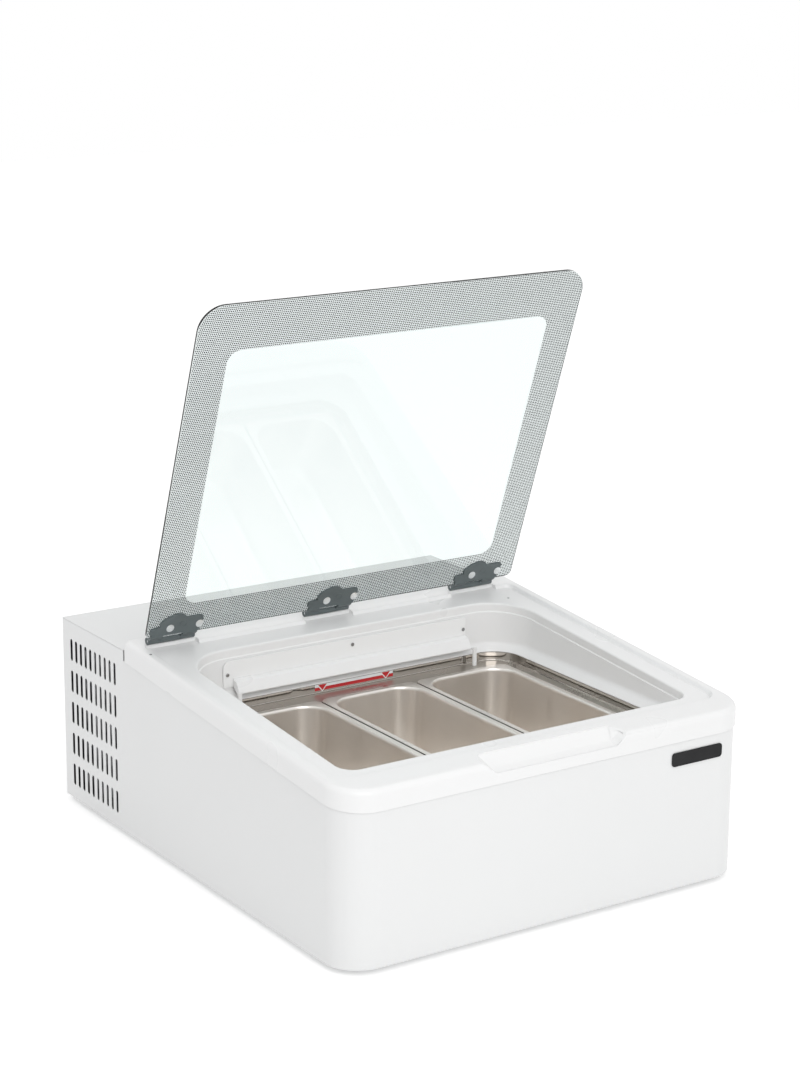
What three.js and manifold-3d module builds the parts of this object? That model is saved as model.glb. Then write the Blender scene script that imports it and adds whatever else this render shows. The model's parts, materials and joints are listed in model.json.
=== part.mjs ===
// Countertop ice cream dipping cabinet: an insulated tank with three lift-out pans under a
// hinged glass lid, and a ventilated machine housing behind it.
// Millimetres, +Z up, front towards -Y. The origin is on the floor, under the middle of the cabinet.

import * as THREE from 'three';
import { mergeVertices } from 'three/addons/utils/BufferGeometryUtils.js';
import Module from 'manifold-3d';

const wasm = await Module();
wasm.setup();

// ---------------------------------------------------------------- driving dimensions

// Clearances
const GAP = 0.3; // between pieces that rest on or beside each other
const RUNNING_GAP = 0.3; // round a shaft that turns
const EAR_GAP = 0.4; // between the knuckles of a hinge
const SCREW_GAP = 0.15; // under a screw's head
const COIL_GAP = 0.8; // evaporator coil to the tank

// Ice cream pans. The cabinet is built up round three of them.
const PAN_WIDTH = 165;
const PAN_LENGTH = 360;
const PAN_DEPTH = 120;
const PAN_SPACING = 3;
const PAN_SHEET = 1.2;
const PAN_RIM_WIDTH = 9;
const PAN_RIM_CORNER_R = 14;
const PAN_MOUTH_R = 38;
const PAN_TAPER = 7;
const PAN_BOTTOM_R = 14;

// Stainless tank, with a shelf that the pans' rims hang on
const TANK_SIDE_MARGIN = 18.5; // pan rims to the tank's wall
const TANK_FRONT_MARGIN = 18;
const TANK_REAR_MARGIN = 30;
const TANK_RISE = 12.2; // pan rims up to the tank's lip
const TANK_CORNER_R = 45;
const TANK_SHEET = 1;
const TANK_LIP = 8;
const TANK_BOTTOM_R = 12;
const UNDER_PANS = 17; // free height below the pans
const WELL_CORNER_R = 30;
const WELL_MARGIN = 2.5; // round the pans' bodies

// Top frame, one moulding: skirt, rim, ledge, throat walls and the flange over the tank
const FLANGE_SIDE = 19.5; // tank wall out to the mouth of the throat
const FLANGE_FRONT = 18;
const FLANGE_REAR = 14;
const FLANGE_RISE = 14.8; // tank lip up to the foot of the throat's walls
const THROAT_RISE = 24; // foot of the throat's walls up to the rim, at the front face
const THROAT_DRAFT = 3.5;
const MOUTH_FRONT_R = 24;
const MOUTH_REAR_R = 70;
const BEAD_DROP = 19; // the throat wall steps in under this band
const LEDGE_SIDE = 29.5; // mouth out to the rim
const LEDGE_FRONT_WIDTH = 27;
const LEDGE_REAR_WIDTH = 38;
const LEDGE_DROP = 5.8;
const LEDGE_FRONT_R = 26;
const LEDGE_REAR_R = 12;
const RIM_SIDE = 17; // ledge out to the body's face
const RIM_FRONT = 47;
const RIM_REAR = 48;
const RIM_SLOPE = 0.082; // rise for each millimetre towards the rear
const RIM_RADIUS = 9;
const FRAME_OVERHANG = 2.5;
const FRAME_REAR_CORNER_R = 12;
const SKIRT_HEIGHT = 31;
const SKIRT_LAP = 10; // how far the body sheet reaches up inside the skirt
const MOULDING_WALL = 3;
const SCOOP_TOP_HALF_WIDTH = 120;
const SCOOP_FLOOR_HALF_WIDTH = 100;
const SCOOP_DROP = 16.5;
const SCOOP_REACH = 32;

// Cabinet body, painted steel sheet. Heights are above the body's bottom edge.
const UNDER_TANK = 60; // bottom edge to the tank's floor
const MACHINE_DEPTH = 196; // behind the top frame
const HOUSING_STEP = 15.8; // the frame's rear edge down to the top of the machine housing
const BODY_CORNER_R = 51;
const SHEET = 1.2;
const CORNER_STEPS = 6;
const FLANGE_WIDTH = 13;
const TOP_FLANGE_DROP = 14;
const FOOT_HEIGHT = 8;
const FOOT_RADIUS = 17;
const FOOT_INSET = 62;
const BASE_LIP = 12;
const BULKHEAD_FOOT = 16;

// Glass lid and its hinges
const GLASS = 4;
const LID_SIDE_LAP = 4; // over the rim, past the ledge
const LID_FRONT_LAP = 28.8;
const LID_FRONT_R = 38;
const LID_REAR_R = 10;
const LID_OPEN_DEGREES = 70.7; // above level, as it stands open
const HINGE_AXIS_SETBACK = 11; // ledge to the hinge axis
const HINGE_BARREL_LIFT = 1; // rim up to the underside of the barrel
const HINGE_LEFT_INSET = 62.5; // lid's left side to the middle of its hinge
const HINGE_RIGHT_INSET = 53;
const HINGE_MIDDLE_X = 5;
const HINGE_SIDES = ['left', 'middle', 'right'];
const GLASS_SETBACK = 7.8; // hinge axis to the glass edge
const LID_REST_GAP = 0.5; // rim up to the underside of the closed glass
const LEAF_THICKNESS = 3.4;
const LEAF_SETBACK = 11.5; // hinge axis to the flat of the leaf
const BARREL_R = 5.5;
const PIN_R = 2.4;
const BARREL_FROM = -56;
const BARREL_TO = 20;
const KNUCKLE_FROM = -36; // the fixed knuckle, between the leaf's two
const KNUCKLE_TO = -4;
const HINGE_FOOT_DEPTH = 16;
const HINGE_FOOT_THICKNESS = 3;
const SCREW_PITCH = 48;
const SCREW_SHIFT = -2.8; // middle of the hinge to the middle of its screws
const SCREW_SETBACK = 24; // hinge axis to the screws
const SCREW_HEAD_R = 4.8;
const SCREW_HEAD_HEIGHT = 1.6;
const SCREW_SHANK_R = 2;

// Ventilation slots in the sides and the rear of the machine housing
const SLOT_WIDTH = 7;
const SLOT_HEIGHT = 34.5;
const SLOT_PITCH = 15.4;
const SLOT_ROW_PITCH = 49.5;
const SLOT_COLUMNS = 10;
const SLOT_ROWS = 5;
const SLOT_REAR_MARGIN = 29; // rear edge to the last column
const SLOT_BOTTOM = 21.5;
const REAR_SLOT_COLUMNS = 8;
const REAR_SLOT_ROWS = 2;

// Rear cover plate and light bar in the throat
const COVER_LEFT_INSET = 68; // side of the mouth to the plate's edge
const COVER_RIGHT_INSET = 83;
const COVER_LEFT_R = 10;
const COVER_RIGHT_R = 3;
const COVER_RISE = 4; // above the foot of the throat's wall
const COVER_TOP_MARGIN = 4.1; // below the bead
const COVER_SHEET = 1.5;
const LIGHT_BAR_INSET = 84; // side of the mouth to the bar's end
const LIGHT_BAR_SHEET = 1.5;
const LIGHT_BAR_DEPTH = 18.5;
const LIGHT_BAR_RISE = 19; // its top edge, above the foot of the throat's wall
const LIGHT_BAR_HEIGHT = 27;
const LEG_WIDTH = 6;
const LEG_THICKNESS = 3;
const LEG_OUTSET = 2.5; // the bar's end to the middle of its leg
const LEG_FORWARD = 5; // of the bar's face

// Nameplate on the front, blank
const BADGE_WIDTH = 89;
const BADGE_HEIGHT = 20;
const BADGE_THICKNESS = 1.5;
const BADGE_SIDE_INSET = 93.5; // body's side to the middle of the plate
const BADGE_DROP = 56; // rim down to the middle of the plate
const BADGE_R = 5;

// Machine housing, behind the insulation
const MACHINE_SHIFT = 2; // of its middle, clear of the bulkhead's foot
const COMPRESSOR_X = 110;
const COMPRESSOR_R = 70;
const COMPRESSOR_HEIGHT = 165;
const COMPRESSOR_SEAM = 3; // how far the weld round its middle stands out
const COMPRESSOR_SIDES = 16;
const DISCHARGE_DEGREES = 191.25;
const SUCTION_DEGREES = -56.25;
const PORT_Z = 80;
const MOUNT_HEIGHT = 16;
const MOUNT_THICKNESS = 2.5;
const MOUNT_HALF_LENGTH = 92;
const MOUNT_HALF_WIDTH = 62;
const GROMMET_INSET = 14;
const FAN_Z = 128;
const FAN_R = 66;
const FAN_TIP_GAP = 7;
const FAN_BLADES = 5;
const FAN_HUB_R = 15;
const FAN_HUB_FRONT = 20; // ahead of the shroud's plate
const FAN_HUB_BACK = 3;
const SHROUD_MARGIN = 9; // duct to the edge of the shroud's plate
const SHROUD_SHEET = 2;
const SHROUD_GAP = 28; // condenser tube to the shroud's plate
const DUCT_DEPTH = 16;
const MOTOR_R = 28;
const MOTOR_LENGTH = 40;
const SHAFT_R = 3;
const CONDENSER_INSET = 13; // body's side to the outer face of the fins
const CONDENSER_THICKNESS = 30;
const CONDENSER_HEIGHT = 240;
const CONDENSER_HALF_LENGTH = 75;
const CONDENSER_FINS = 15;
const CONDENSER_RUNS = 6;
const CONDENSER_RUN_PITCH = 38;
const CONDENSER_REACH = 56;
const CONDENSER_TUBE_LOW = 24;
const TUBE_R = 4;
const PIPE_R = 3;
const DRYER_R = 9;
const DRYER_LENGTH = 104;
const DRYER_SETBACK = 152; // outer face of the condenser to the dryer
const COIL_TURNS = 4;
const COIL_LOW = 22; // above the tank's floor
const COIL_PITCH = 22.5;

// Controls and cable gland on the rear panel
const CONTROLS_Z = 225;
const THERMOSTAT_INSET = 120; // body's left side to the thermostat
const SWITCH_SPACING = 60;
const KNOB_PROUD = 14; // how far the thermostat knob stands off the rear panel
const KNOB_R = 17;
const THERMOSTAT_SHAFT_R = 3;
const SWITCH_HALF_WIDTH = 6.5;
const SWITCH_HALF_HEIGHT = 13.7;
const ROCKER_TILT = 7; // degrees either side of level
const GLAND_INSET = 85;
const GLAND_Z = 60;
const GLAND_NECK_R = 7.4;

// Places worked out from these
const PAN_PITCH = PAN_WIDTH + PAN_SPACING;
const TANK_HALF_WIDTH = PAN_PITCH + PAN_WIDTH / 2 + TANK_SIDE_MARGIN;
const MOUTH_HALF_WIDTH = TANK_HALF_WIDTH + FLANGE_SIDE;
const LEDGE_HALF_WIDTH = MOUTH_HALF_WIDTH + LEDGE_SIDE;
const HALF = LEDGE_HALF_WIDTH + RIM_SIDE;
const WIDTH = 2 * HALF;
const LEDGE_FRONT = RIM_FRONT;
const MOUTH_FRONT = LEDGE_FRONT + LEDGE_FRONT_WIDTH;
const TANK_FRONT = MOUTH_FRONT + FLANGE_FRONT;
const PAN_FRONT = TANK_FRONT + TANK_FRONT_MARGIN;
const TANK_REAR = PAN_FRONT + PAN_LENGTH + TANK_REAR_MARGIN;
const MOUTH_REAR = TANK_REAR + FLANGE_REAR;
const LEDGE_REAR = MOUTH_REAR + LEDGE_REAR_WIDTH;
const FRAME_DEPTH = LEDGE_REAR + RIM_REAR;
const DEPTH = FRAME_DEPTH + MACHINE_DEPTH;
const PAN_RIM_HEIGHT = UNDER_TANK + UNDER_PANS + PAN_DEPTH;
const TANK_TOP_HEIGHT = PAN_RIM_HEIGHT + TANK_RISE;
const THROAT_FOOT_HEIGHT = TANK_TOP_HEIGHT + FLANGE_RISE;
const RIM_FRONT_HEIGHT = THROAT_FOOT_HEIGHT + THROAT_RISE;
const HOUSING_HEIGHT = rimHeight(FRAME_DEPTH) - HOUSING_STEP;
const SHELF_HEIGHT = PAN_RIM_HEIGHT - PAN_SHEET - GAP; // the pans' rims hang on it
const WELL_HALF_WIDTH = PAN_PITCH + PAN_WIDTH / 2 - PAN_RIM_WIDTH + WELL_MARGIN;
const WELL_FRONT = PAN_FRONT + PAN_RIM_WIDTH - WELL_MARGIN;
const WELL_REAR = PAN_FRONT + PAN_LENGTH - PAN_RIM_WIDTH + WELL_MARGIN;
const HINGE_AXIS_Y = LEDGE_REAR + HINGE_AXIS_SETBACK;
const HINGE_AXIS_RISE = BARREL_R + HINGE_BARREL_LIFT;
const HINGE_AXIS_Z = rimHeight(HINGE_AXIS_Y) + HINGE_AXIS_RISE;
const LID_HALF_WIDTH = LEDGE_HALF_WIDTH + LID_SIDE_LAP;
const LID_LENGTH = HINGE_AXIS_Y - GLASS_SETBACK - LEDGE_FRONT + LID_FRONT_LAP;
const HINGE_CENTRES = [
  HINGE_LEFT_INSET - LID_HALF_WIDTH,
  HINGE_MIDDLE_X,
  LID_HALF_WIDTH - HINGE_RIGHT_INSET,
];
const GLASS_UNDER = LID_REST_GAP - HINGE_AXIS_RISE; // measured from the hinge axis, with the lid closed
const LEAF_TOP = GLASS_UNDER - GAP;
const LEAF_UNDER = LEAF_TOP - LEAF_THICKNESS;
const COVER_LEFT = COVER_LEFT_INSET - MOUTH_HALF_WIDTH;
const COVER_RIGHT = MOUTH_HALF_WIDTH - COVER_RIGHT_INSET;
const COVER_BOTTOM = THROAT_FOOT_HEIGHT + COVER_RISE;
const COVER_TOP = rimHeight(MOUTH_REAR) - BEAD_DROP - COVER_TOP_MARGIN;
const COVER_BACK = MOUTH_REAR - THROAT_DRAFT - GAP;
const COVER_FRONT = COVER_BACK - COVER_SHEET;
const LIGHT_BAR_HALF_WIDTH = MOUTH_HALF_WIDTH - LIGHT_BAR_INSET;
const BASE_TOP = 2 * SHEET + GAP; // the base plate lies on the body's bottom flange
const BULKHEAD_Y = FRAME_DEPTH + 1;
const MACHINE_Y = (FRAME_DEPTH + DEPTH) / 2 + MACHINE_SHIFT; // middle of the fan and the compressor
const MOUNT_TOP = MOUNT_HEIGHT + MOUNT_THICKNESS;
const CONDENSER_X = CONDENSER_INSET - HALF;
const CONDENSER_TUBE_X = CONDENSER_X + CONDENSER_THICKNESS + GAP + TUBE_R;
const SHROUD_X = CONDENSER_TUBE_X + TUBE_R + SHROUD_GAP - GAP;
const MOTOR_FRONT = SHROUD_X + SHROUD_SHEET + GAP;
const DRYER_X = CONDENSER_X + DRYER_SETBACK;
const DRYER_Y = BULKHEAD_Y + BULKHEAD_FOOT - 1;
const DRYER_Z = BASE_TOP + SHEET + 2 * GAP + DRYER_R; // it lies on the bulkhead's foot
const COIL_LOW_Z = UNDER_TANK + COIL_LOW;
const COIL_TOP_Z = COIL_LOW_Z + COIL_TURNS * COIL_PITCH;
const PANEL_FRONT = DEPTH + GAP;
const PANEL_BACK = PANEL_FRONT + SHEET;
const REARMOST = PANEL_BACK + KNOB_PROUD;
const MIDDLE_Y = (REARMOST - FRAME_OVERHANG) / 2;
const THERMOSTAT_X = THERMOSTAT_INSET - HALF;
const SWITCH_X = THERMOSTAT_X + SWITCH_SPACING;
const GLAND_X = GLAND_INSET - HALF;

// ---------------------------------------------------------------- colours

const finish = (color, roughness, metalness = 0, extra = {}) =>
  new THREE.MeshStandardMaterial({ color, roughness, metalness, ...extra });

const WHITE_PAINT = finish(0xf2f3f3, 0.35);
const WHITE_PLASTIC = finish(0xf6f6f5, 0.3);
const STAINLESS = finish(0xb9b5ae, 0.22, 1);
const ZINC = finish(0xc9d2d2, 0.35, 1);
const GALVANISED = finish(0x9ea3a6, 0.5, 1);
const GREY_PLASTIC = finish(0x55595a, 0.5);
const BLACK_PLASTIC = finish(0x141516, 0.45);
const RUBBER = finish(0x1c1c1d, 0.8);
const FOAM = finish(0xe6d9a8, 0.95);
const COPPER = finish(0xb87346, 0.35, 1);
const BLACK_PAINT = finish(0x18191a, 0.4);
const ALUMINIUM = finish(0xb4b8ba, 0.45, 1);
const CLEAR_GLASS = finish(0xe4f0ec, 0.05, 0, { transparent: true, opacity: 0.3 });
const OPAL = finish(0xf7f7f2, 0.4);

// ---------------------------------------------------------------- shapes and solids

/** Height of the sloping rim above the body's bottom edge, at a distance from the front face. */
function rimHeight(y) {
  return RIM_FRONT_HEIGHT + RIM_SLOPE * y;
}

/** A height below the rim, following its slope. */
const belowRim = (drop) => (y) => rimHeight(y) - drop;

const level = (z) => () => z;

const polygon = (points) => new THREE.Shape(points.map(([a, b]) => new THREE.Vector2(a, b)));

/** A rectangle with four round corners, or a slot when the radius is half its width. */
function roundedShape(a0, a1, b0, b1, radius) {
  const shape = new THREE.Shape();
  const quarter = Math.PI / 2;
  shape.absarc(a1 - radius, b1 - radius, radius, 0, quarter);
  shape.absarc(a0 + radius, b1 - radius, radius, quarter, 2 * quarter);
  shape.absarc(a0 + radius, b0 + radius, radius, 2 * quarter, 3 * quarter);
  shape.absarc(a1 - radius, b0 + radius, radius, 3 * quarter, 4 * quarter);
  shape.closePath();
  return shape;
}

function circleShape(a, b, radius) {
  const shape = new THREE.Shape();
  shape.absarc(a, b, radius, 0, 2 * Math.PI);
  return shape;
}

/** A bent sheet seen from its end: a line of points given a thickness, with mitred bends. */
function bentStrip(points, thickness) {
  const middle = points.map(([a, b]) => new THREE.Vector2(a, b));
  const normals = middle.slice(1).map((p, i) => {
    const run = p.clone().sub(middle[i]).normalize();
    return new THREE.Vector2(-run.y, run.x);
  });
  const side = (offset) =>
    middle.map((p, i) => {
      const before = normals[Math.max(i - 1, 0)];
      const after = normals[Math.min(i, normals.length - 1)];
      const mitre = before.clone().add(after).normalize();
      return p.clone().addScaledVector(mitre, offset / mitre.dot(after));
    });
  return new THREE.Shape([...side(thickness / 2), ...side(-thickness / 2).reverse()]);
}

const extrude = (shape, depth, curveSegments) =>
  new THREE.ExtrudeGeometry(shape, { depth, bevelEnabled: false, curveSegments });

/** Shape drawn in (x, y), standing from z0 to z1. */
const alongZ = (shape, z0, z1, segments = 3) =>
  extrude(shape, z1 - z0, segments).translate(0, 0, z0);

/** Shape drawn in (y, z), running from x0 to x1. */
function alongX(shape, x0, x1, segments = 3) {
  const turn = new THREE.Matrix4().makeBasis(
    new THREE.Vector3(0, 1, 0),
    new THREE.Vector3(0, 0, 1),
    new THREE.Vector3(1, 0, 0),
  );
  return extrude(shape, x1 - x0, segments).applyMatrix4(turn).translate(x0, 0, 0);
}

/** Shape drawn in (x, z), running from y0 to y1. */
function alongY(shape, y0, y1, segments = 3) {
  const turn = new THREE.Matrix4().makeBasis(
    new THREE.Vector3(1, 0, 0),
    new THREE.Vector3(0, 0, 1),
    new THREE.Vector3(0, -1, 0),
  );
  return extrude(shape, y1 - y0, segments).applyMatrix4(turn).translate(0, y1, 0);
}

function box(x0, x1, y0, y1, z0, z1) {
  const geometry = new THREE.BoxGeometry(x1 - x0, y1 - y0, z1 - z0);
  return geometry.translate((x0 + x1) / 2, (y0 + y1) / 2, (z0 + z1) / 2);
}

/** A turned piece about the Z axis, from pairs of radius and height. */
const turned = (profile, segments = 10) =>
  new THREE.LatheGeometry(profile.map(([r, z]) => new THREE.Vector2(r, z)), segments).rotateX(Math.PI / 2);

/** A rounded rectangle seen from above, as points at a height that may change with y. */
function ring({ halfX, front, rear, frontR, rearR }, height, steps = 4) {
  const corners = [
    [halfX - rearR, rear - rearR, rearR, 0],
    [rearR - halfX, rear - rearR, rearR, 1],
    [frontR - halfX, front + frontR, frontR, 2],
    [halfX - frontR, front + frontR, frontR, 3],
  ];
  return corners.flatMap(([x, y, r, quadrant]) =>
    Array.from({ length: steps + 1 }, (_, i) => {
      const angle = (quadrant + i / steps) * (Math.PI / 2);
      const py = y + r * Math.sin(angle);
      return new THREE.Vector3(x + r * Math.cos(angle), py, height(py));
    }),
  );
}

/** The same plan drawn in by a distance, or out when it is negative. */
function inset(plan, d) {
  return {
    halfX: plan.halfX - d,
    front: plan.front + d,
    rear: plan.rear - d,
    frontR: Math.max(plan.frontR - d, 1),
    rearR: Math.max(plan.rearR - d, 1),
  };
}

/** A skin through a stack of rings. An open stack is closed by its first and last ring. */
function loft(rings, closed = false) {
  const count = rings[0].length;
  const index = [];
  const bands = closed ? rings.length : rings.length - 1;
  for (let band = 0; band < bands; band++) {
    const a = band * count;
    const b = ((band + 1) % rings.length) * count;
    for (let i = 0; i < count; i++) {
      const j = (i + 1) % count;
      index.push(a + i, a + j, b + j, a + i, b + j, b + i);
    }
  }
  if (!closed) {
    const last = (rings.length - 1) * count;
    for (let i = 1; i < count - 1; i++) {
      index.push(0, i + 1, i, last, last + i, last + i + 1);
    }
  }
  const geometry = new THREE.BufferGeometry();
  const positions = rings.flat().flatMap((p) => p.toArray());
  geometry.setAttribute('position', new THREE.Float32BufferAttribute(positions, 3));
  geometry.setIndex(index);
  geometry.computeVertexNormals();
  return geometry;
}

/** A straight block with a rounded-rectangle plan. */
const prism = (plan, z0, z1, steps = 4) =>
  loft([ring(plan, level(z0), steps), ring(plan, level(z1), steps)]);

/** A round tube along a smooth route. */
function tube(points, radius, steps, sides = 5) {
  const route = new THREE.CatmullRomCurve3(points.map((p) => new THREE.Vector3(...p)));
  const section = polygon(
    Array.from({ length: sides }, (_, i) => {
      const angle = (2 * Math.PI * i) / sides;
      return [radius * Math.cos(angle), radius * Math.sin(angle)];
    }),
  );
  return new THREE.ExtrudeGeometry(section, { steps, bevelEnabled: false, extrudePath: route });
}

/** The exact solid of a closed mesh, for joining and cutting. */
function solid(geometry) {
  const bare = geometry.clone();
  bare.deleteAttribute('normal');
  bare.deleteAttribute('uv');
  const merged = mergeVertices(bare, 1e-4);
  const mesh = new wasm.Mesh({
    numProp: 3,
    vertProperties: Float32Array.from(merged.attributes.position.array),
    triVerts: Uint32Array.from(merged.index.array),
  });
  return new wasm.Manifold(mesh);
}

function surface(manifold) {
  const mesh = manifold.getMesh();
  const geometry = new THREE.BufferGeometry();
  geometry.setAttribute('position', new THREE.BufferAttribute(mesh.vertProperties, 3));
  geometry.setIndex(new THREE.BufferAttribute(mesh.triVerts, 1));
  geometry.computeVertexNormals();
  return geometry;
}

const join = (first, ...others) =>
  surface(others.reduce((whole, g) => whole.add(solid(g)), solid(first)));

const cut = (first, ...tools) =>
  surface(tools.reduce((whole, g) => whole.subtract(solid(g)), solid(first)));

/** An upright slot with round ends, drawn from its lower left corner. */
function slotShape(a, b) {
  const r = SLOT_WIDTH / 2;
  const end = (middle, from) =>
    [0, 1, 2, 3].map((step) => {
      const angle = from + (step * Math.PI) / 3;
      return [a + r + r * Math.cos(angle), middle + r * Math.sin(angle)];
    });
  return polygon([...end(b + SLOT_HEIGHT - r, 0), ...end(b + r, Math.PI)]);
}

/** A rectangular block of slots. */
function slotShapes(columns, rows, a0, b0) {
  const shapes = [];
  for (let column = 0; column < columns; column++) {
    for (let row = 0; row < rows; row++) {
      shapes.push(slotShape(a0 + column * SLOT_PITCH, b0 + row * SLOT_ROW_PITCH));
    }
  }
  return shapes;
}

// ---------------------------------------------------------------- plans

const FRAME_PLAN = {
  halfX: HALF + FRAME_OVERHANG,
  front: -FRAME_OVERHANG,
  rear: FRAME_DEPTH,
  frontR: BODY_CORNER_R + FRAME_OVERHANG,
  rearR: FRAME_REAR_CORNER_R,
};
const LEDGE_PLAN = {
  halfX: LEDGE_HALF_WIDTH,
  front: LEDGE_FRONT,
  rear: LEDGE_REAR,
  frontR: LEDGE_FRONT_R,
  rearR: LEDGE_REAR_R,
};
const MOUTH_PLAN = {
  halfX: MOUTH_HALF_WIDTH,
  front: MOUTH_FRONT,
  rear: MOUTH_REAR,
  frontR: MOUTH_FRONT_R,
  rearR: MOUTH_REAR_R,
};
const TANK_PLAN = {
  halfX: TANK_HALF_WIDTH,
  front: TANK_FRONT,
  rear: TANK_REAR,
  frontR: TANK_CORNER_R,
  rearR: TANK_CORNER_R,
};
const WELL_PLAN = {
  halfX: WELL_HALF_WIDTH,
  front: WELL_FRONT,
  rear: WELL_REAR,
  frontR: WELL_CORNER_R,
  rearR: WELL_CORNER_R,
};
const COIL_PLAN = inset(WELL_PLAN, -TANK_SHEET - COIL_GAP - TUBE_R);
const SUCTION_X = COIL_PLAN.halfX;
const BODY_INSIDE_PLAN = {
  halfX: HALF - SHEET,
  front: SHEET,
  rear: DEPTH - SHEET,
  frontR: BODY_CORNER_R - SHEET,
  rearR: 1,
};

// ---------------------------------------------------------------- cabinet body

/** The plan of the wrap-round body sheet: two sides, the front, and a return at each rear edge. */
function bodySheetShape() {
  const shape = new THREE.Shape();
  const innerR = BODY_CORNER_R - SHEET;
  const quarter = Math.PI / 2;
  shape.moveTo(HALF - FLANGE_WIDTH, DEPTH);
  shape.lineTo(HALF - FLANGE_WIDTH, DEPTH - SHEET);
  shape.lineTo(HALF - SHEET, DEPTH - SHEET);
  shape.absarc(HALF - BODY_CORNER_R, BODY_CORNER_R, innerR, 0, -quarter, true);
  shape.absarc(BODY_CORNER_R - HALF, BODY_CORNER_R, innerR, -quarter, -2 * quarter, true);
  shape.lineTo(SHEET - HALF, DEPTH - SHEET);
  shape.lineTo(FLANGE_WIDTH - HALF, DEPTH - SHEET);
  shape.lineTo(FLANGE_WIDTH - HALF, DEPTH);
  shape.lineTo(-HALF, DEPTH);
  shape.absarc(BODY_CORNER_R - HALF, BODY_CORNER_R, BODY_CORNER_R, 2 * quarter, 3 * quarter);
  shape.absarc(HALF - BODY_CORNER_R, BODY_CORNER_R, BODY_CORNER_R, 3 * quarter, 4 * quarter);
  shape.lineTo(HALF, DEPTH);
  return shape;
}

/** What is cut off the top of the body sheet, seen from the side: the slope under the frame. */
function bodyTopCut() {
  const top = HOUSING_HEIGHT - SHEET - GAP;
  const edge = (y) => rimHeight(y) - SKIRT_HEIGHT + SKIRT_LAP;
  const notchFront = FRAME_DEPTH - FRAME_REAR_CORNER_R - GAP;
  const notchFloor = rimHeight(notchFront) - SKIRT_HEIGHT - GAP;
  const above = HOUSING_HEIGHT + 10;
  return polygon([
    [-10, edge(-10)],
    [notchFront, edge(notchFront)],
    [notchFront, notchFloor],
    [FRAME_DEPTH + GAP, notchFloor],
    [FRAME_DEPTH + GAP, top],
    [DEPTH + 10, top],
    [DEPTH + 10, above],
    [-10, above],
  ]);
}

function outerShell() {
  const walls = alongZ(bodySheetShape(), 0, HOUSING_HEIGHT, CORNER_STEPS / 2);
  const at = (plan, z) => ring(plan, level(z), CORNER_STEPS);
  const outside = inset(BODY_INSIDE_PLAN, -SHEET / 2);
  const inside = inset(BODY_INSIDE_PLAN, FLANGE_WIDTH);
  const flange = loft([at(outside, 0), at(outside, SHEET), at(inside, SHEET), at(inside, 0)], true);
  const slotsFront = DEPTH - SLOT_REAR_MARGIN - SLOT_WIDTH / 2 - (SLOT_COLUMNS - 1) * SLOT_PITCH;
  const slots = slotShapes(SLOT_COLUMNS, SLOT_ROWS, slotsFront, SLOT_BOTTOM);
  return cut(
    join(walls, flange),
    alongX(bodyTopCut(), -WIDTH, WIDTH),
    alongX(slots, -WIDTH, WIDTH),
  );
}

function basePlate() {
  const plan = inset(BODY_INSIDE_PLAN, GAP);
  const at = (outline, z) => ring(outline, level(z), CORNER_STEPS);
  return loft([
    at(plan, SHEET + GAP),
    at(plan, BASE_LIP),
    at(inset(plan, SHEET), BASE_LIP),
    at(inset(plan, SHEET), BASE_TOP),
  ]);
}

function foot() {
  return turned([
    [0, -FOOT_HEIGHT],
    [FOOT_RADIUS - 2, -FOOT_HEIGHT],
    [FOOT_RADIUS, -FOOT_HEIGHT + 2],
    [FOOT_RADIUS - 3, 0],
    [FOOT_RADIUS - 3, SHEET],
    [0, SHEET],
  ]);
}

function rearTopCover() {
  const top = HOUSING_HEIGHT;
  const under = top - SHEET;
  const front = FRAME_DEPTH + GAP;
  const sideX = HALF - SHEET - GAP;
  const rearX = HALF - FLANGE_WIDTH - 5;
  const rearY = DEPTH - SHEET - GAP;
  const flange = (x0, x1, y0, y1) => box(x0, x1, y0, y1, under - TOP_FLANGE_DROP, under + SHEET / 2);
  return join(
    box(-HALF, HALF, front, DEPTH, under, top),
    flange(-sideX, SHEET - sideX, front + 6, rearY - 6),
    flange(sideX - SHEET, sideX, front + 6, rearY - 6),
    flange(-rearX, rearX, rearY - SHEET, rearY),
  );
}

function rearPanel() {
  const outline = roundedShape(2 - HALF, HALF - 2, 3, HOUSING_HEIGHT - 2, 3);
  const slotsWide = (REAR_SLOT_COLUMNS - 1) * SLOT_PITCH + SLOT_WIDTH;
  const slotsLeft = COMPRESSOR_X - slotsWide / 2;
  const slots = slotShapes(REAR_SLOT_COLUMNS, REAR_SLOT_ROWS, slotsLeft, SLOT_BOTTOM + SLOT_ROW_PITCH);
  const reach = [PANEL_FRONT - 5, PANEL_BACK + 5];
  return cut(
    alongY(outline, PANEL_FRONT, PANEL_BACK, 1),
    alongY(slots, ...reach),
    alongY(circleShape(THERMOSTAT_X, CONTROLS_Z, THERMOSTAT_SHAFT_R + 2), ...reach, 4),
    alongY(circleShape(GLAND_X, GLAND_Z, GLAND_NECK_R + 2 * GAP), ...reach, 6),
    box(
      SWITCH_X - SWITCH_HALF_WIDTH - GAP,
      SWITCH_X + SWITCH_HALF_WIDTH + GAP,
      ...reach,
      CONTROLS_Z - SWITCH_HALF_HEIGHT - GAP,
      CONTROLS_Z + SWITCH_HALF_HEIGHT + GAP,
    ),
  );
}

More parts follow.
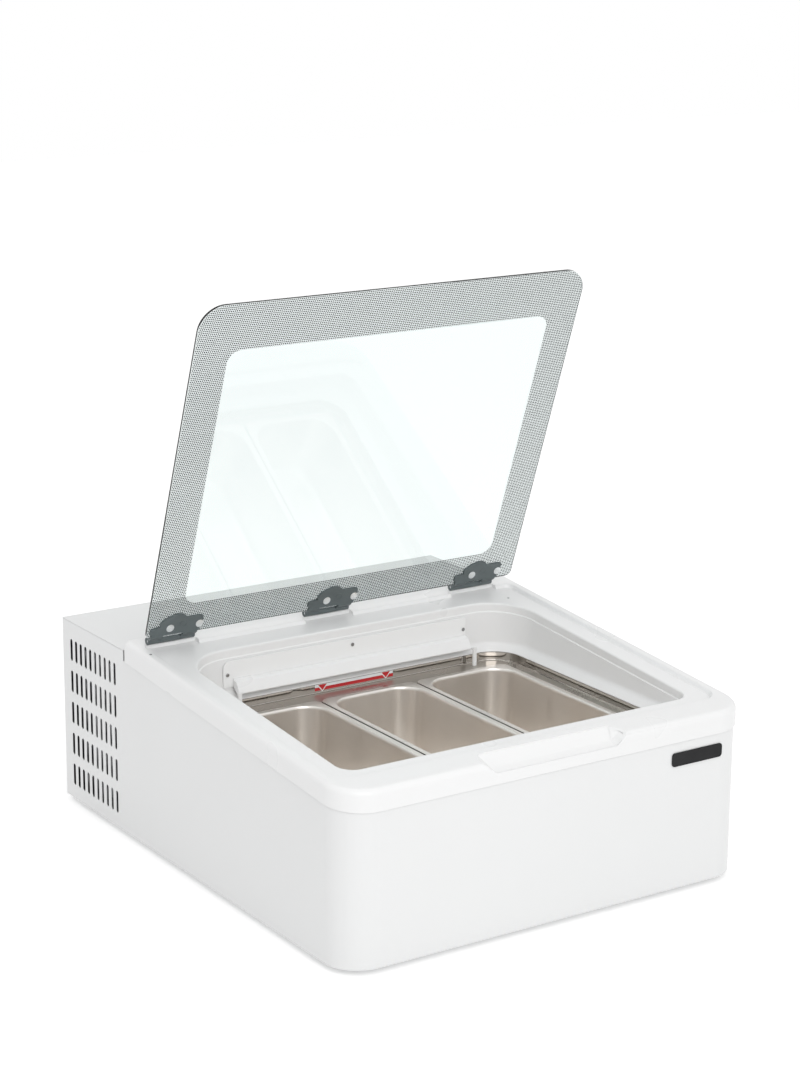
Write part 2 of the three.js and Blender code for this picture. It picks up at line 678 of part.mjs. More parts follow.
function bulkhead() {
  const bottom = BASE_TOP + GAP;
  const strip = bentStrip(
    [
      [BULKHEAD_Y + SHEET / 2, HOUSING_HEIGHT - SHEET - GAP],
      [BULKHEAD_Y + SHEET / 2, bottom + SHEET / 2],
      [BULKHEAD_Y + BULKHEAD_FOOT, bottom + SHEET / 2],
    ],
    SHEET,
  );
  const halfX = HALF - 2 * SHEET - 2 * GAP;
  return cut(
    alongX(strip, -halfX, halfX),
    alongY(circleShape(SUCTION_X, COIL_TOP_Z, TUBE_R + 2), BULKHEAD_Y - 5, BULKHEAD_Y + 5),
  );
}

/** Foam fills the body round the tank, under the frame. It is open above the tank. */
function foamInsulation() {
  const plan = {
    ...inset(BODY_INSIDE_PLAN, SHEET + 2 * GAP),
    rear: FRAME_DEPTH - FRAME_OVERHANG - GAP,
    rearR: FRAME_REAR_CORNER_R,
  };
  const at = (outline, height) => ring(outline, height, CORNER_STEPS);
  const top = belowRim(LEDGE_DROP + MOULDING_WALL + 4 * GAP);
  const throat = inset(MOUTH_PLAN, -MOULDING_WALL - 2 * GAP);
  const lip = inset(TANK_PLAN, -TANK_LIP - TANK_SHEET - GAP);
  const coilSpace = inset(WELL_PLAN, -TANK_SHEET - COIL_GAP - 2 * TUBE_R - GAP);
  const pipeHole = circleShape(SUCTION_X, COIL_TOP_Z, TUBE_R + 2);
  return cut(
    loft([at(plan, level(BASE_TOP + GAP)), at(plan, top)]),
    loft([at(throat, level(TANK_TOP_HEIGHT - TANK_SHEET)), at(throat, belowRim(-GAP))]),
    prism(lip, SHELF_HEIGHT - TANK_SHEET - GAP, TANK_TOP_HEIGHT + 1),
    prism(coilSpace, UNDER_TANK - TANK_SHEET - GAP, SHELF_HEIGHT),
    grow(scoopBlock(), 5 * GAP),
    alongY(pipeHole, WELL_REAR - COIL_PLAN.rearR, FRAME_DEPTH + 5),
  );
}

/** A block with each side moved out by a distance, by scaling it about its middle. */
function grow(geometry, distance) {
  geometry.computeBoundingBox();
  const size = geometry.boundingBox.getSize(new THREE.Vector3());
  const middle = geometry.boundingBox.getCenter(new THREE.Vector3());
  return geometry
    .translate(-middle.x, -middle.y, -middle.z)
    .scale(1 + (2 * distance) / size.x, 1 + (2 * distance) / size.y, 1 + (2 * distance) / size.z)
    .translate(middle.x, middle.y, middle.z);
}

// ---------------------------------------------------------------- top frame

/** The finger scoop's own wall, under the front rim. */
function scoopBlock() {
  const side = SCOOP_TOP_HALF_WIDTH + MOULDING_WALL;
  const corners = (y, low, high) => [
    new THREE.Vector3(-side, y, rimHeight(y) - low),
    new THREE.Vector3(side, y, rimHeight(y) - low),
    new THREE.Vector3(side, y, rimHeight(y) - high),
    new THREE.Vector3(-side, y, rimHeight(y) - high),
  ];
  return loft([
    corners(SCOOP_REACH + MOULDING_WALL, MOULDING_WALL + 4, MOULDING_WALL / 2),
    corners(GAP, SCOOP_DROP + MOULDING_WALL, MOULDING_WALL * 1.5),
  ]);
}

/** The finger scoop: slanted ends, and a floor that rises towards the tank. */
function scoopCut() {
  const corners = (y, drop, top, floor) => [
    new THREE.Vector3(-floor, y, rimHeight(y) - drop),
    new THREE.Vector3(floor, y, rimHeight(y) - drop),
    new THREE.Vector3(top, y, rimHeight(y) + 5),
    new THREE.Vector3(-top, y, rimHeight(y) + 5),
  ];
  const flare = (SCOOP_TOP_HALF_WIDTH - SCOOP_FLOOR_HALF_WIDTH) / SCOOP_DROP;
  const top = SCOOP_TOP_HALF_WIDTH + 5 * flare;
  return loft([
    corners(SCOOP_REACH, 1.5, top - 14, top - 18),
    corners(14, SCOOP_DROP - 3, top, SCOOP_FLOOR_HALF_WIDTH),
    corners(-10, SCOOP_DROP, top, SCOOP_FLOOR_HALF_WIDTH),
  ]);
}

/** A notch in the ledge's rear edge for one leaf's arms. With a wall, it is what the notch is cut from. */
function hingeNotch(centreX, wall) {
  const front = wall ? LEDGE_REAR : LEDGE_REAR - LEDGE_REAR_R;
  const rear = HINGE_AXIS_Y + wall;
  const drop = LEDGE_DROP + wall;
  const top = wall ? -MOULDING_WALL / 2 : 5;
  const side = wall + 4;
  const shape = polygon([
    [front, rimHeight(front) - drop],
    [rear, rimHeight(rear) - drop],
    [rear, rimHeight(rear) + top],
    [front, rimHeight(front) + top],
  ]);
  return alongX(shape, centreX + BARREL_FROM - side, centreX + BARREL_TO + side);
}

function topFrame() {
  const at = (plan, height) => ring(plan, height, CORNER_STEPS);
  const roundSteps = 3; // of the rim's rounding
  const rounding = Array.from({ length: roundSteps }, (_, i) => {
    const angle = ((i + 1) / roundSteps) * (Math.PI / 2);
    const draw = RIM_RADIUS * (1 - Math.cos(angle));
    return at(inset(FRAME_PLAN, draw), belowRim(RIM_RADIUS * (1 - Math.sin(angle))));
  });
  const throat = inset(MOUTH_PLAN, THROAT_DRAFT);
  const skin = loft(
    [
      at(FRAME_PLAN, belowRim(SKIRT_HEIGHT)),
      at(FRAME_PLAN, belowRim(RIM_RADIUS)),
      ...rounding,
      at(inset(LEDGE_PLAN, -1.5), belowRim(0)),
      at(inset(LEDGE_PLAN, 1), belowRim(LEDGE_DROP)),
      at(inset(MOUTH_PLAN, -2), belowRim(LEDGE_DROP)),
      at(MOUTH_PLAN, belowRim(LEDGE_DROP + 2)),
      at(MOUTH_PLAN, belowRim(BEAD_DROP)),
      at(inset(MOUTH_PLAN, 1.5), belowRim(BEAD_DROP + 1)),
      at(throat, level(THROAT_FOOT_HEIGHT)),
      at(inset(throat, 3), level(THROAT_FOOT_HEIGHT - 6)),
      at(TANK_PLAN, level(TANK_TOP_HEIGHT + GAP + 1.5)),
      at(TANK_PLAN, level(TANK_TOP_HEIGHT + GAP)),
      at(inset(TANK_PLAN, -TANK_LIP), level(TANK_TOP_HEIGHT + GAP)),
      at(inset(MOUTH_PLAN, -MOULDING_WALL), level(THROAT_FOOT_HEIGHT - 8)),
      at(inset(MOUTH_PLAN, -MOULDING_WALL), belowRim(LEDGE_DROP + MOULDING_WALL)),
      at(inset(LEDGE_PLAN, -MOULDING_WALL), belowRim(LEDGE_DROP + MOULDING_WALL)),
      at(inset(LEDGE_PLAN, -1.5 - MOULDING_WALL), belowRim(MOULDING_WALL)),
      at(inset(FRAME_PLAN, RIM_RADIUS), belowRim(MOULDING_WALL)),
      at(inset(FRAME_PLAN, FRAME_OVERHANG - GAP), belowRim(RIM_RADIUS)),
      at(inset(FRAME_PLAN, FRAME_OVERHANG - GAP), belowRim(SKIRT_HEIGHT)),
    ],
    true,
  );
  const joined = join(skin, scoopBlock(), ...HINGE_CENTRES.map((x) => hingeNotch(x, MOULDING_WALL)));
  return cut(joined, scoopCut(), ...HINGE_CENTRES.map((x) => hingeNotch(x, 0)));
}

// ---------------------------------------------------------------- tank and pans

function tankLiner() {
  const well = inset(WELL_PLAN, -TANK_SHEET);
  const upper = inset(TANK_PLAN, -TANK_SHEET);
  const shelfUnder = SHELF_HEIGHT - TANK_SHEET;
  const lipUnder = TANK_TOP_HEIGHT - TANK_SHEET;
  const floor = UNDER_TANK;
  return loft([
    ring(inset(well, TANK_BOTTOM_R * 0.7), level(floor - TANK_SHEET)),
    ring(well, level(floor - TANK_SHEET + TANK_BOTTOM_R * 0.7)),
    ring(well, level(shelfUnder)),
    ring(upper, level(shelfUnder)),
    ring(upper, level(lipUnder)),
    ring(inset(upper, -TANK_LIP + TANK_SHEET), level(lipUnder)),
    ring(inset(upper, -TANK_LIP + TANK_SHEET), level(TANK_TOP_HEIGHT)),
    ring(TANK_PLAN, level(TANK_TOP_HEIGHT)),
    ring(TANK_PLAN, level(SHELF_HEIGHT)),
    ring(WELL_PLAN, level(SHELF_HEIGHT)),
    ring(WELL_PLAN, level(floor + TANK_BOTTOM_R)),
    ring(inset(WELL_PLAN, TANK_BOTTOM_R * 0.3), level(floor + TANK_BOTTOM_R * 0.3)),
    ring(inset(WELL_PLAN, TANK_BOTTOM_R), level(floor)),
  ]);
}

function pan() {
  const rim = {
    halfX: PAN_WIDTH / 2,
    front: PAN_FRONT,
    rear: PAN_FRONT + PAN_LENGTH,
    frontR: PAN_RIM_CORNER_R,
    rearR: PAN_RIM_CORNER_R,
  };
  const mouth = { ...inset(rim, PAN_RIM_WIDTH), frontR: PAN_MOUTH_R, rearR: PAN_MOUTH_R };
  const low = inset(mouth, PAN_TAPER);
  const top = PAN_RIM_HEIGHT;
  const bottom = top - PAN_DEPTH;
  const at = (plan, z) => ring(plan, level(z), 3);
  const wall = (plan, lift) => [
    at(inset(plan, PAN_BOTTOM_R), bottom + lift),
    at(inset(plan, PAN_BOTTOM_R * 0.3), bottom + lift + PAN_BOTTOM_R * 0.3),
    at(plan, bottom + lift + PAN_BOTTOM_R),
  ];
  return loft([
    ...wall(low, 0),
    at(mouth, top - PAN_SHEET),
    at(rim, top - PAN_SHEET),
    at(rim, top),
    at(inset(mouth, -1), top),
    at(inset(mouth, PAN_SHEET), top - 2),
    ...wall(inset(low, PAN_SHEET), PAN_SHEET).reverse(),
  ]);
}

/** Turns of copper tube round the outside of the tank's well, in one climbing run. */
function evaporatorCoil() {
  const corner = ring(COIL_PLAN, level(0), 3);
  const points = [];
  const count = corner.length;
  for (let i = 0; i <= COIL_TURNS * count; i++) {
    const climb = (COIL_TOP_Z - COIL_LOW_Z) * (i / (COIL_TURNS * count));
    const here = corner[i % count];
    points.push([here.x, here.y, COIL_LOW_Z + climb]);
  }
  return sweep(points.map((p) => new THREE.Vector3(...p)), TUBE_R, 4);
}

/** A tube through points that keeps one section upright at each of them. */
function sweep(points, radius, sides) {
  const rings = points.map((p, i) => {
    const before = points[Math.max(i - 1, 0)];
    const after = points[Math.min(i + 1, points.length - 1)];
    const along = after.clone().sub(before).normalize();
    const out = new THREE.Vector3().crossVectors(along, new THREE.Vector3(0, 0, 1)).normalize();
    const up = new THREE.Vector3().crossVectors(out, along);
    return Array.from({ length: sides }, (_, k) => {
      const angle = (2 * Math.PI * (k + 0.5)) / sides;
      return p
        .clone()
        .addScaledVector(out, radius * Math.cos(angle))
        .addScaledVector(up, radius * Math.sin(angle));
    });
  });
  return loft(rings.reverse());
}

// ---------------------------------------------------------------- throat fittings

function rearCoverPlate() {
  const shape = new THREE.Shape();
  const quarter = Math.PI / 2;
  const [left, right] = [COVER_LEFT_R, COVER_RIGHT_R];
  shape.moveTo(COVER_RIGHT, COVER_BOTTOM);
  shape.absarc(COVER_RIGHT - right, COVER_TOP - right, right, 0, quarter);
  shape.absarc(COVER_LEFT + left, COVER_TOP - left, left, quarter, 2 * quarter);
  shape.lineTo(COVER_LEFT, COVER_BOTTOM);
  return alongY(shape, COVER_FRONT, COVER_BACK);
}

/** A bent cover that carries the lamp over the rear of the pans, closed at both ends. */
function lightBar() {
  const back = COVER_FRONT - GAP - LIGHT_BAR_SHEET / 2;
  const front = back - LIGHT_BAR_DEPTH;
  const top = THROAT_FOOT_HEIGHT + LIGHT_BAR_RISE;
  const bottom = top - LIGHT_BAR_HEIGHT;
  const line = [
    [back, top],
    [back, top - 4],
    [back - 8.5, top - 6.5],
    [front, bottom + 2.5],
    [front + 6.5, bottom],
  ];
  const end = polygon([...line.slice(1), [back, bottom + 12]]);
  const half = LIGHT_BAR_HALF_WIDTH;
  const legs = [-1, 1].map((side) => {
    const x = side * (half + LEG_OUTSET);
    const inner = side * (half - LIGHT_BAR_SHEET);
    const legFront = front - LEG_FORWARD;
    const edges = [Math.min(inner, x), Math.max(inner, x)];
    const width = [x - LEG_WIDTH / 2, x + LEG_WIDTH / 2];
    return [
      box(...width, legFront, legFront + LEG_THICKNESS, SHELF_HEIGHT + GAP, bottom + 9),
      box(...edges, legFront, front + LEG_THICKNESS, bottom + 4, bottom + 7),
    ];
  });
  return join(
    alongX(bentStrip(line, LIGHT_BAR_SHEET), -half, half),
    alongX(end, -half, LIGHT_BAR_SHEET - half),
    alongX(end, half - LIGHT_BAR_SHEET, half),
    ...legs.flat(),
  );
}

function ledStrip() {
  const back = COVER_FRONT - 2 * GAP - LIGHT_BAR_SHEET;
  const foot = THROAT_FOOT_HEIGHT;
  const shape = polygon([
    [back, foot - 3],
    [back, foot + 12],
    [back - 4, foot + 12],
    [back - 9, foot + 4],
    [back - 6, foot - 3],
  ]);
  return alongX(shape, 6 - LIGHT_BAR_HALF_WIDTH, LIGHT_BAR_HALF_WIDTH - 6);
}

function badgePlate() {
  const x0 = HALF - BADGE_SIDE_INSET - BADGE_WIDTH / 2;
  const z0 = RIM_FRONT_HEIGHT - BADGE_DROP - BADGE_HEIGHT / 2;
  const shape = roundedShape(x0, x0 + BADGE_WIDTH, z0, z0 + BADGE_HEIGHT, BADGE_R);
  return alongY(shape, -GAP - BADGE_THICKNESS, -GAP, 2);
}

// ---------------------------------------------------------------- lid and hinges
// The lid's pieces are drawn closed and level: the hinge axis is the X axis, the glass lies
// towards -Y and its outer face is up.

function screwPlaces(centreX) {
  const middle = centreX + SCREW_SHIFT;
  return [-1, 1].map((side) => [middle + (side * SCREW_PITCH) / 2, -SCREW_SETBACK]);
}

function lidGlass() {
  const shape = new THREE.Shape();
  const quarter = Math.PI / 2;
  const half = LID_HALF_WIDTH;
  const rear = -GLASS_SETBACK;
  const front = rear - LID_LENGTH;
  shape.absarc(half - LID_REAR_R, rear - LID_REAR_R, LID_REAR_R, 0, quarter);
  shape.absarc(LID_REAR_R - half, rear - LID_REAR_R, LID_REAR_R, quarter, 2 * quarter);
  shape.absarc(LID_FRONT_R - half, front + LID_FRONT_R, LID_FRONT_R, 2 * quarter, 3 * quarter);
  shape.absarc(half - LID_FRONT_R, front + LID_FRONT_R, LID_FRONT_R, 3 * quarter, 4 * quarter);
  for (const [x, y] of HINGE_CENTRES.flatMap(screwPlaces)) {
    shape.holes.push(circleShape(x, y, SCREW_SHANK_R + 1));
  }
  return alongZ(shape, GLASS_UNDER, GLASS_UNDER + GLASS);
}

/** The leaf that clamps to the glass: a winged outline, with an arm and a knuckle at each end. */
function hingeLeaf(centreX) {
  const near = -LEAF_SETBACK;
  const shape = new THREE.Shape();
  shape.moveTo(-54, near - 1);
  shape.lineTo(22, near);
  shape.quadraticCurveTo(25, near - 14, 27, near - 22);
  shape.quadraticCurveTo(27, near - 27, 20, near - 27);
  shape.lineTo(0, near - 27);
  shape.quadraticCurveTo(-6, near - 34, -14, near - 34);
  shape.quadraticCurveTo(-24, near - 36, -38, near - 27);
  shape.lineTo(-43, near - 22);
  shape.lineTo(-43, near - 16);
  shape.lineTo(-54, near - 15);
  shape.lineTo(-58, near - 13);
  shape.lineTo(-58, near - 6);
  for (const [x, y] of screwPlaces(0)) {
    shape.holes.push(circleShape(x, y, SCREW_SHANK_R + 2 * RUNNING_GAP));
  }
  const arm = polygon([
    [near - 2, LEAF_UNDER],
    [near + 2, LEAF_UNDER],
    [-3, 0.5 - BARREL_R],
    [0, 0],
    [-3, BARREL_R - 1],
    [GAP - GLASS_SETBACK, GLASS_UNDER + GLASS],
    [GAP - GLASS_SETBACK, LEAF_TOP],
    [near - 2, LEAF_TOP],
  ]);
  const ends = [
    [BARREL_FROM, KNUCKLE_FROM - EAR_GAP],
    [KNUCKLE_TO + EAR_GAP, BARREL_TO],
  ];
  const knuckle = circleShape(0, 0, BARREL_R);
  const arms = ends.flatMap(([x0, x1]) => [alongX(arm, x0, x1), alongX(knuckle, x0, x1, 5)]);
  const bore = alongX(circleShape(0, 0, PIN_R + RUNNING_GAP), BARREL_FROM - 1, BARREL_TO + 1, 4);
  return cut(join(alongZ(shape, LEAF_UNDER, LEAF_TOP), ...arms), bore).translate(centreX, 0, 0);
}

/** Stepped screw and its cap: head under the leaf, shank through the glass, cap on top. */
function hingeScrew([x, y]) {
  const headTop = LEAF_UNDER - SCREW_GAP;
  const capUnder = GLASS_UNDER + GLASS + SCREW_GAP;
  const end = (z, way) => [
    [SCREW_SHANK_R, z],
    [SCREW_HEAD_R, z],
    [SCREW_HEAD_R * 0.9, z + way * SCREW_HEAD_HEIGHT],
    [0, z + way * SCREW_HEAD_HEIGHT],
  ];
  return turned([...end(headTop, -1).reverse(), ...end(capUnder, 1)], 8).translate(x, y, 0);
}

/** The fixed part of a hinge: a knuckle between the leaf's two, on a foot that lies on the rim. */
function hingeBase(centreX) {
  const under = (y) => RIM_SLOPE * y - HINGE_AXIS_RISE + GAP;
  const front = 2;
  const back = front + HINGE_FOOT_DEPTH;
  const foot = polygon([
    [front, under(front)],
    [back, under(back)],
    [back, under(back) + HINGE_FOOT_THICKNESS],
    [BARREL_R + 2, under(BARREL_R) + HINGE_FOOT_THICKNESS],
    [BARREL_R - 1, 1],
    [0, 0],
  ]);
  const knuckle = circleShape(0, 0, BARREL_R);
  const bore = alongX(circleShape(0, 0, PIN_R + RUNNING_GAP), KNUCKLE_FROM - 1, KNUCKLE_TO + 1, 4);
  return cut(
    join(alongX(foot, KNUCKLE_FROM, KNUCKLE_TO), alongX(knuckle, KNUCKLE_FROM, KNUCKLE_TO, 5)),
    bore,
  ).translate(centreX, 0, 0);
}

function hingePin(centreX) {
  return alongX(circleShape(0, 0, PIN_R), BARREL_FROM + 1, BARREL_TO - 1, 4).translate(centreX, 0, 0);
}

// ---------------------------------------------------------------- machine housing

function compressor() {
  const r = COMPRESSOR_R;
  const h = COMPRESSOR_HEIGHT;
  return turned(
    [
      [0, 0],
      [r * 0.6, 0],
      [r * 0.88, h * 0.07],
      [r, h * 0.2],
      [r, h * 0.5],
      [r + COMPRESSOR_SEAM, h * 0.5],
      [r + COMPRESSOR_SEAM, h * 0.54],
      [r, h * 0.54],
      [r, h * 0.7],
      [r * 0.9, h * 0.87],
      [r * 0.62, h * 0.97],
      [0, h],
    ],
    COMPRESSOR_SIDES,
  ).translate(COMPRESSOR_X, MACHINE_Y, MOUNT_TOP + GAP);
}

const GROMMET_PLACES = [-1, 1].flatMap((sideX) =>
  [-1, 1].map((sideY) => [
    COMPRESSOR_X + sideX * (MOUNT_HALF_LENGTH - GROMMET_INSET),
    MACHINE_Y + sideY * (MOUNT_HALF_WIDTH - GROMMET_INSET),
  ]),
);

function compressorMount() {
  const [x, y] = [COMPRESSOR_X, MACHINE_Y];
  const [length, width] = [MOUNT_HALF_LENGTH, MOUNT_HALF_WIDTH];
  const shape = roundedShape(x - length, x + length, y - width, y + width, 12);
  for (const place of GROMMET_PLACES) {
    shape.holes.push(circleShape(...place, 5));
  }
  return alongZ(shape, MOUNT_HEIGHT, MOUNT_TOP);
}

function grommet([x, y]) {
  const seat = MOUNT_HEIGHT - GAP;
  return turned(
    [
      [0, BASE_TOP + GAP],
      [11, BASE_TOP + GAP],
      [9, (BASE_TOP + seat) / 2],
      [11, seat],
      [4, seat],
      [4, MOUNT_TOP],
      [0, MOUNT_TOP],
    ],
    8,
  ).translate(x, y, 0);
}

function terminalBox() {
  const x0 = COMPRESSOR_X + COMPRESSOR_R + COMPRESSOR_SEAM + GAP;
  const middleZ = MOUNT_TOP + COMPRESSOR_HEIGHT * 0.6;
  const shape = roundedShape(x0, x0 + 26, MACHINE_Y - 24, MACHINE_Y + 24, 5);
  return alongZ(shape, middleZ - 24, middleZ + 24, 1);
}

/** A block of upright fins on a common back plate, against the slots of the left side. */
function condenserCore() {
  const y0 = MACHINE_Y - CONDENSER_HALF_LENGTH;
  const y1 = MACHINE_Y + CONDENSER_HALF_LENGTH;
  const x0 = CONDENSER_X;
  const x1 = CONDENSER_X + CONDENSER_THICKNESS;
  const spine = 4;
  const pitch = (y1 - y0) / CONDENSER_FINS;
  const fin = pitch * 0.4;
  const outline = polygon(finOutline(x0, x1, y0, pitch, fin, spine));
  return alongZ(outline, BASE_TOP + GAP, CONDENSER_HEIGHT);
}

/** The comb outline of the fins, seen from above. */
function finOutline(x0, x1, y0, pitch, fin, spine) {
  const points = [[x1, y0]];
  const end = y0 + (CONDENSER_FINS - 1) * pitch + fin;
  points.push([x1, end]);
  for (let i = CONDENSER_FINS - 1; i >= 0; i--) {
    const y = y0 + i * pitch;
    points.push([x0, y + fin], [x0, y]);
    if (i > 0) {
      points.push([x1 - spine, y], [x1 - spine, y - pitch + fin]);
    }
  }
  return points;
}

/** Copper tube that runs to and fro over the inner face of the fins. */
function condenserTube() {
  const points = [];
  for (let run = 0; run < CONDENSER_RUNS; run++) {
    const z = CONDENSER_TUBE_LOW + run * CONDENSER_RUN_PITCH;
    const way = run % 2 ? -1 : 1;
    points.push([MACHINE_Y - way * CONDENSER_REACH, z], [MACHINE_Y + way * CONDENSER_REACH, z]);
    if (run < CONDENSER_RUNS - 1) {
      const bend = MACHINE_Y + way * (CONDENSER_REACH + 12);
      points.push([bend, z + CONDENSER_RUN_PITCH * 0.25], [bend, z + CONDENSER_RUN_PITCH * 0.75]);
    }
  }
  return sweepFlat(points.map(([y, z]) => [CONDENSER_TUBE_X, y, z]), TUBE_R, 5);
}

/** A tube whose route stays in one plane of constant x. */
function sweepFlat(points, radius, sides) {
  const route = points.map((p) => new THREE.Vector3(...p));
  const side = new THREE.Vector3(1, 0, 0);
  const rings = route.map((p, i) => {
    const before = route[Math.max(i - 1, 0)];
    const after = route[Math.min(i + 1, route.length - 1)];
    const along = after.clone().sub(before).normalize();
    const up = new THREE.Vector3().crossVectors(side, along);
    return Array.from({ length: sides }, (_, k) => {
      const angle = (2 * Math.PI * k) / sides;
      return p
        .clone()
        .addScaledVector(side, radius * Math.cos(angle))
        .addScaledVector(up, radius * Math.sin(angle));
    });
  });
  return loft(rings.reverse());
}

/** Plate with a round duct and three arms that carry the fan motor. */
function fanShroud() {
  const duct = FAN_R + FAN_TIP_GAP;
  const half = duct + SHROUD_MARGIN;
  const back = SHROUD_X + SHROUD_SHEET;
  const plate = polygon([
    [MACHINE_Y - half, BASE_TOP + GAP],
    [MACHINE_Y + half, BASE_TOP + GAP],
    [MACHINE_Y + half, CONDENSER_HEIGHT],
    [MACHINE_Y - half, CONDENSER_HEIGHT],
  ]);
  plate.holes.push(circleShape(MACHINE_Y, FAN_Z, duct));
  const ductRing = circleShape(MACHINE_Y, FAN_Z, duct + SHROUD_SHEET);
  ductRing.holes.push(circleShape(MACHINE_Y, FAN_Z, duct));
  const arms = [30, 150, 270].map((degrees) =>
    box(SHROUD_X, back, -3, 3, SHAFT_R + 9, duct + 1)
      .rotateX(THREE.MathUtils.degToRad(degrees))
      .translate(0, MACHINE_Y, FAN_Z),
  );
  const seat = circleShape(MACHINE_Y, FAN_Z, SHAFT_R + 15);
  seat.holes.push(circleShape(MACHINE_Y, FAN_Z, SHAFT_R + 2));
  return join(
    alongX(plate, SHROUD_X, back, 6),
    alongX(ductRing, SHROUD_X - DUCT_DEPTH, back - SHROUD_SHEET / 2, 6),
    ...arms,
    alongX(seat, SHROUD_X, back, 4),
  );
}

function fanMotor() {
  const back = MOTOR_FRONT + MOTOR_LENGTH;
  const profile = [
    [0, SHROUD_X - DUCT_DEPTH],
    [SHAFT_R, SHROUD_X - DUCT_DEPTH],
    [SHAFT_R, MOTOR_FRONT],
    [SHAFT_R + 13, MOTOR_FRONT],
    [MOTOR_R, MOTOR_FRONT + 6],
    [MOTOR_R, back - 6],
    [MOTOR_R - 8, back],
    [0, back],
  ];
  return turned(profile).rotateY(Math.PI / 2).translate(0, MACHINE_Y, FAN_Z);
}

function fanBlade() {
  const hubR = FAN_HUB_R;
  const front = SHROUD_X - FAN_HUB_FRONT;
  const back = SHROUD_X - FAN_HUB_BACK;
  const hub = turned(
    [
      [0, front],
      [hubR - 3, front],
      [hubR, front + 3],
      [hubR, back],
      [SHAFT_R + RUNNING_GAP, back],
      [SHAFT_R + RUNNING_GAP, SHROUD_X - DUCT_DEPTH - GAP],
      [0, SHROUD_X - DUCT_DEPTH - GAP],
    ],
    10,
  ).rotateY(Math.PI / 2);
  const shape = new THREE.Shape();
  shape.moveTo(hubR - 3, -7);
  shape.quadraticCurveTo(FAN_R * 0.6, -22, FAN_R - 2, -20);
  shape.quadraticCurveTo(FAN_R + 3, 4, FAN_R - 10, 26);
  shape.quadraticCurveTo(FAN_R * 0.5, 16, hubR - 3, 7);
  const blades = Array.from({ length: FAN_BLADES }, (_, i) =>
    extrude(shape, 1.6, 2)
      .translate(0, 0, -0.8)
      .rotateX(THREE.MathUtils.degToRad(-20))
      .rotateZ((2 * Math.PI * i) / FAN_BLADES)
      .rotateY(Math.PI / 2)
      .translate((front + back) / 2, 0, 0),
  );
  return join(hub, ...blades).translate(0, MACHINE_Y, FAN_Z);
}

function filterDryer() {
  return turned(
    [
      [0, 0],
      [PIPE_R, 0],
      [PIPE_R, 12],
      [DRYER_R, 20],
      [DRYER_R, DRYER_LENGTH - 22],
      [PIPE_R, DRYER_LENGTH - 12],
      [PIPE_R, DRYER_LENGTH],
      [0, DRYER_LENGTH],
    ],
    10,
  )
    .rotateY(Math.PI / 2)
    .translate(DRYER_X, DRYER_Y, DRYER_Z);
}

/** A place in front of the compressor's side, in a direction seen from above. */
function nearCompressor(degrees, distance) {
  const angle = THREE.MathUtils.degToRad(degrees);
  const d = COMPRESSOR_R * Math.cos(Math.PI / COMPRESSOR_SIDES) + distance;
  return [COMPRESSOR_X + d * Math.cos(angle), MACHINE_Y + d * Math.sin(angle), PORT_Z];
}

/** From the compressor over the fan shroud to the condenser's upper end. */
function dischargePipe() {
  const x = CONDENSER_TUBE_X;
  const z = CONDENSER_TUBE_LOW + (CONDENSER_RUNS - 1) * CONDENSER_RUN_PITCH;
  const end = MACHINE_Y - CONDENSER_REACH;
  return tube(
    [
      nearCompressor(DISCHARGE_DEGREES, GAP),
      nearCompressor(DISCHARGE_DEGREES, 25),
      [COMPRESSOR_X - 2 * COMPRESSOR_R, MACHINE_Y - 50, CONDENSER_HEIGHT - 70],
      [SHROUD_X + 156, MACHINE_Y - 80, CONDENSER_HEIGHT + 10],
      [SHROUD_X + 76, BULKHEAD_Y + 15, CONDENSER_HEIGHT + 20],
      [x + 18, BULKHEAD_Y + 11, CONDENSER_HEIGHT + 10],
      [x, BULKHEAD_Y + 12, z + 14],
      [x, end - 16, z],
      [x, end - GAP, z],
    ],
    PIPE_R,
    24,
  );
}

/** From the condenser's lower end to the filter dryer. */
function liquidPipe() {
  const x = CONDENSER_TUBE_X;
  const end = MACHINE_Y - CONDENSER_REACH;
  const z = CONDENSER_TUBE_LOW;
  return tube(
    [
      [x, end - GAP, z],
      [x, end - 14, z],
      [x + 8, BULKHEAD_Y + 15, z],
      [x + 40, BULKHEAD_Y + 8, DRYER_Z],
      [DRYER_X - 25, DRYER_Y, DRYER_Z],
      [DRYER_X - GAP, DRYER_Y, DRYER_Z],
    ],
    PIPE_R,
    14,
  );
}

/** From the evaporator coil's upper end, back through the foam and the bulkhead, to the compressor. */
function suctionPipe() {
  const start = COIL_PLAN.rear - COIL_PLAN.rearR + TUBE_R / 2;
  return tube(
    [
      [SUCTION_X, start, COIL_TOP_Z],
      [SUCTION_X, start + 80, COIL_TOP_Z],
      [SUCTION_X, BULKHEAD_Y, COIL_TOP_Z],
      [SUCTION_X - 4, BULKHEAD_Y + 22, COIL_TOP_Z - 8],
      [SUCTION_X - 30, BULKHEAD_Y + 22, COIL_TOP_Z - 50],
      [COMPRESSOR_X + 80, BULKHEAD_Y + 16, PORT_Z + 10],
      nearCompressor(SUCTION_DEGREES, 25),
      nearCompressor(SUCTION_DEGREES, GAP),
    ],
    PIPE_R,
    22,
  );
}

// ---------------------------------------------------------------- controls on the rear panel

function thermostatBody() {
  const [x, z] = [THERMOSTAT_X, CONTROLS_Z];
  const back = PANEL_FRONT - GAP;
  return join(
    box(x - 20, x + 20, back - 34, back, z - 22, z + 22),
    alongY(circleShape(x, z, THERMOSTAT_SHAFT_R), PANEL_FRONT - 2, REARMOST - 4, 5),
  );
}

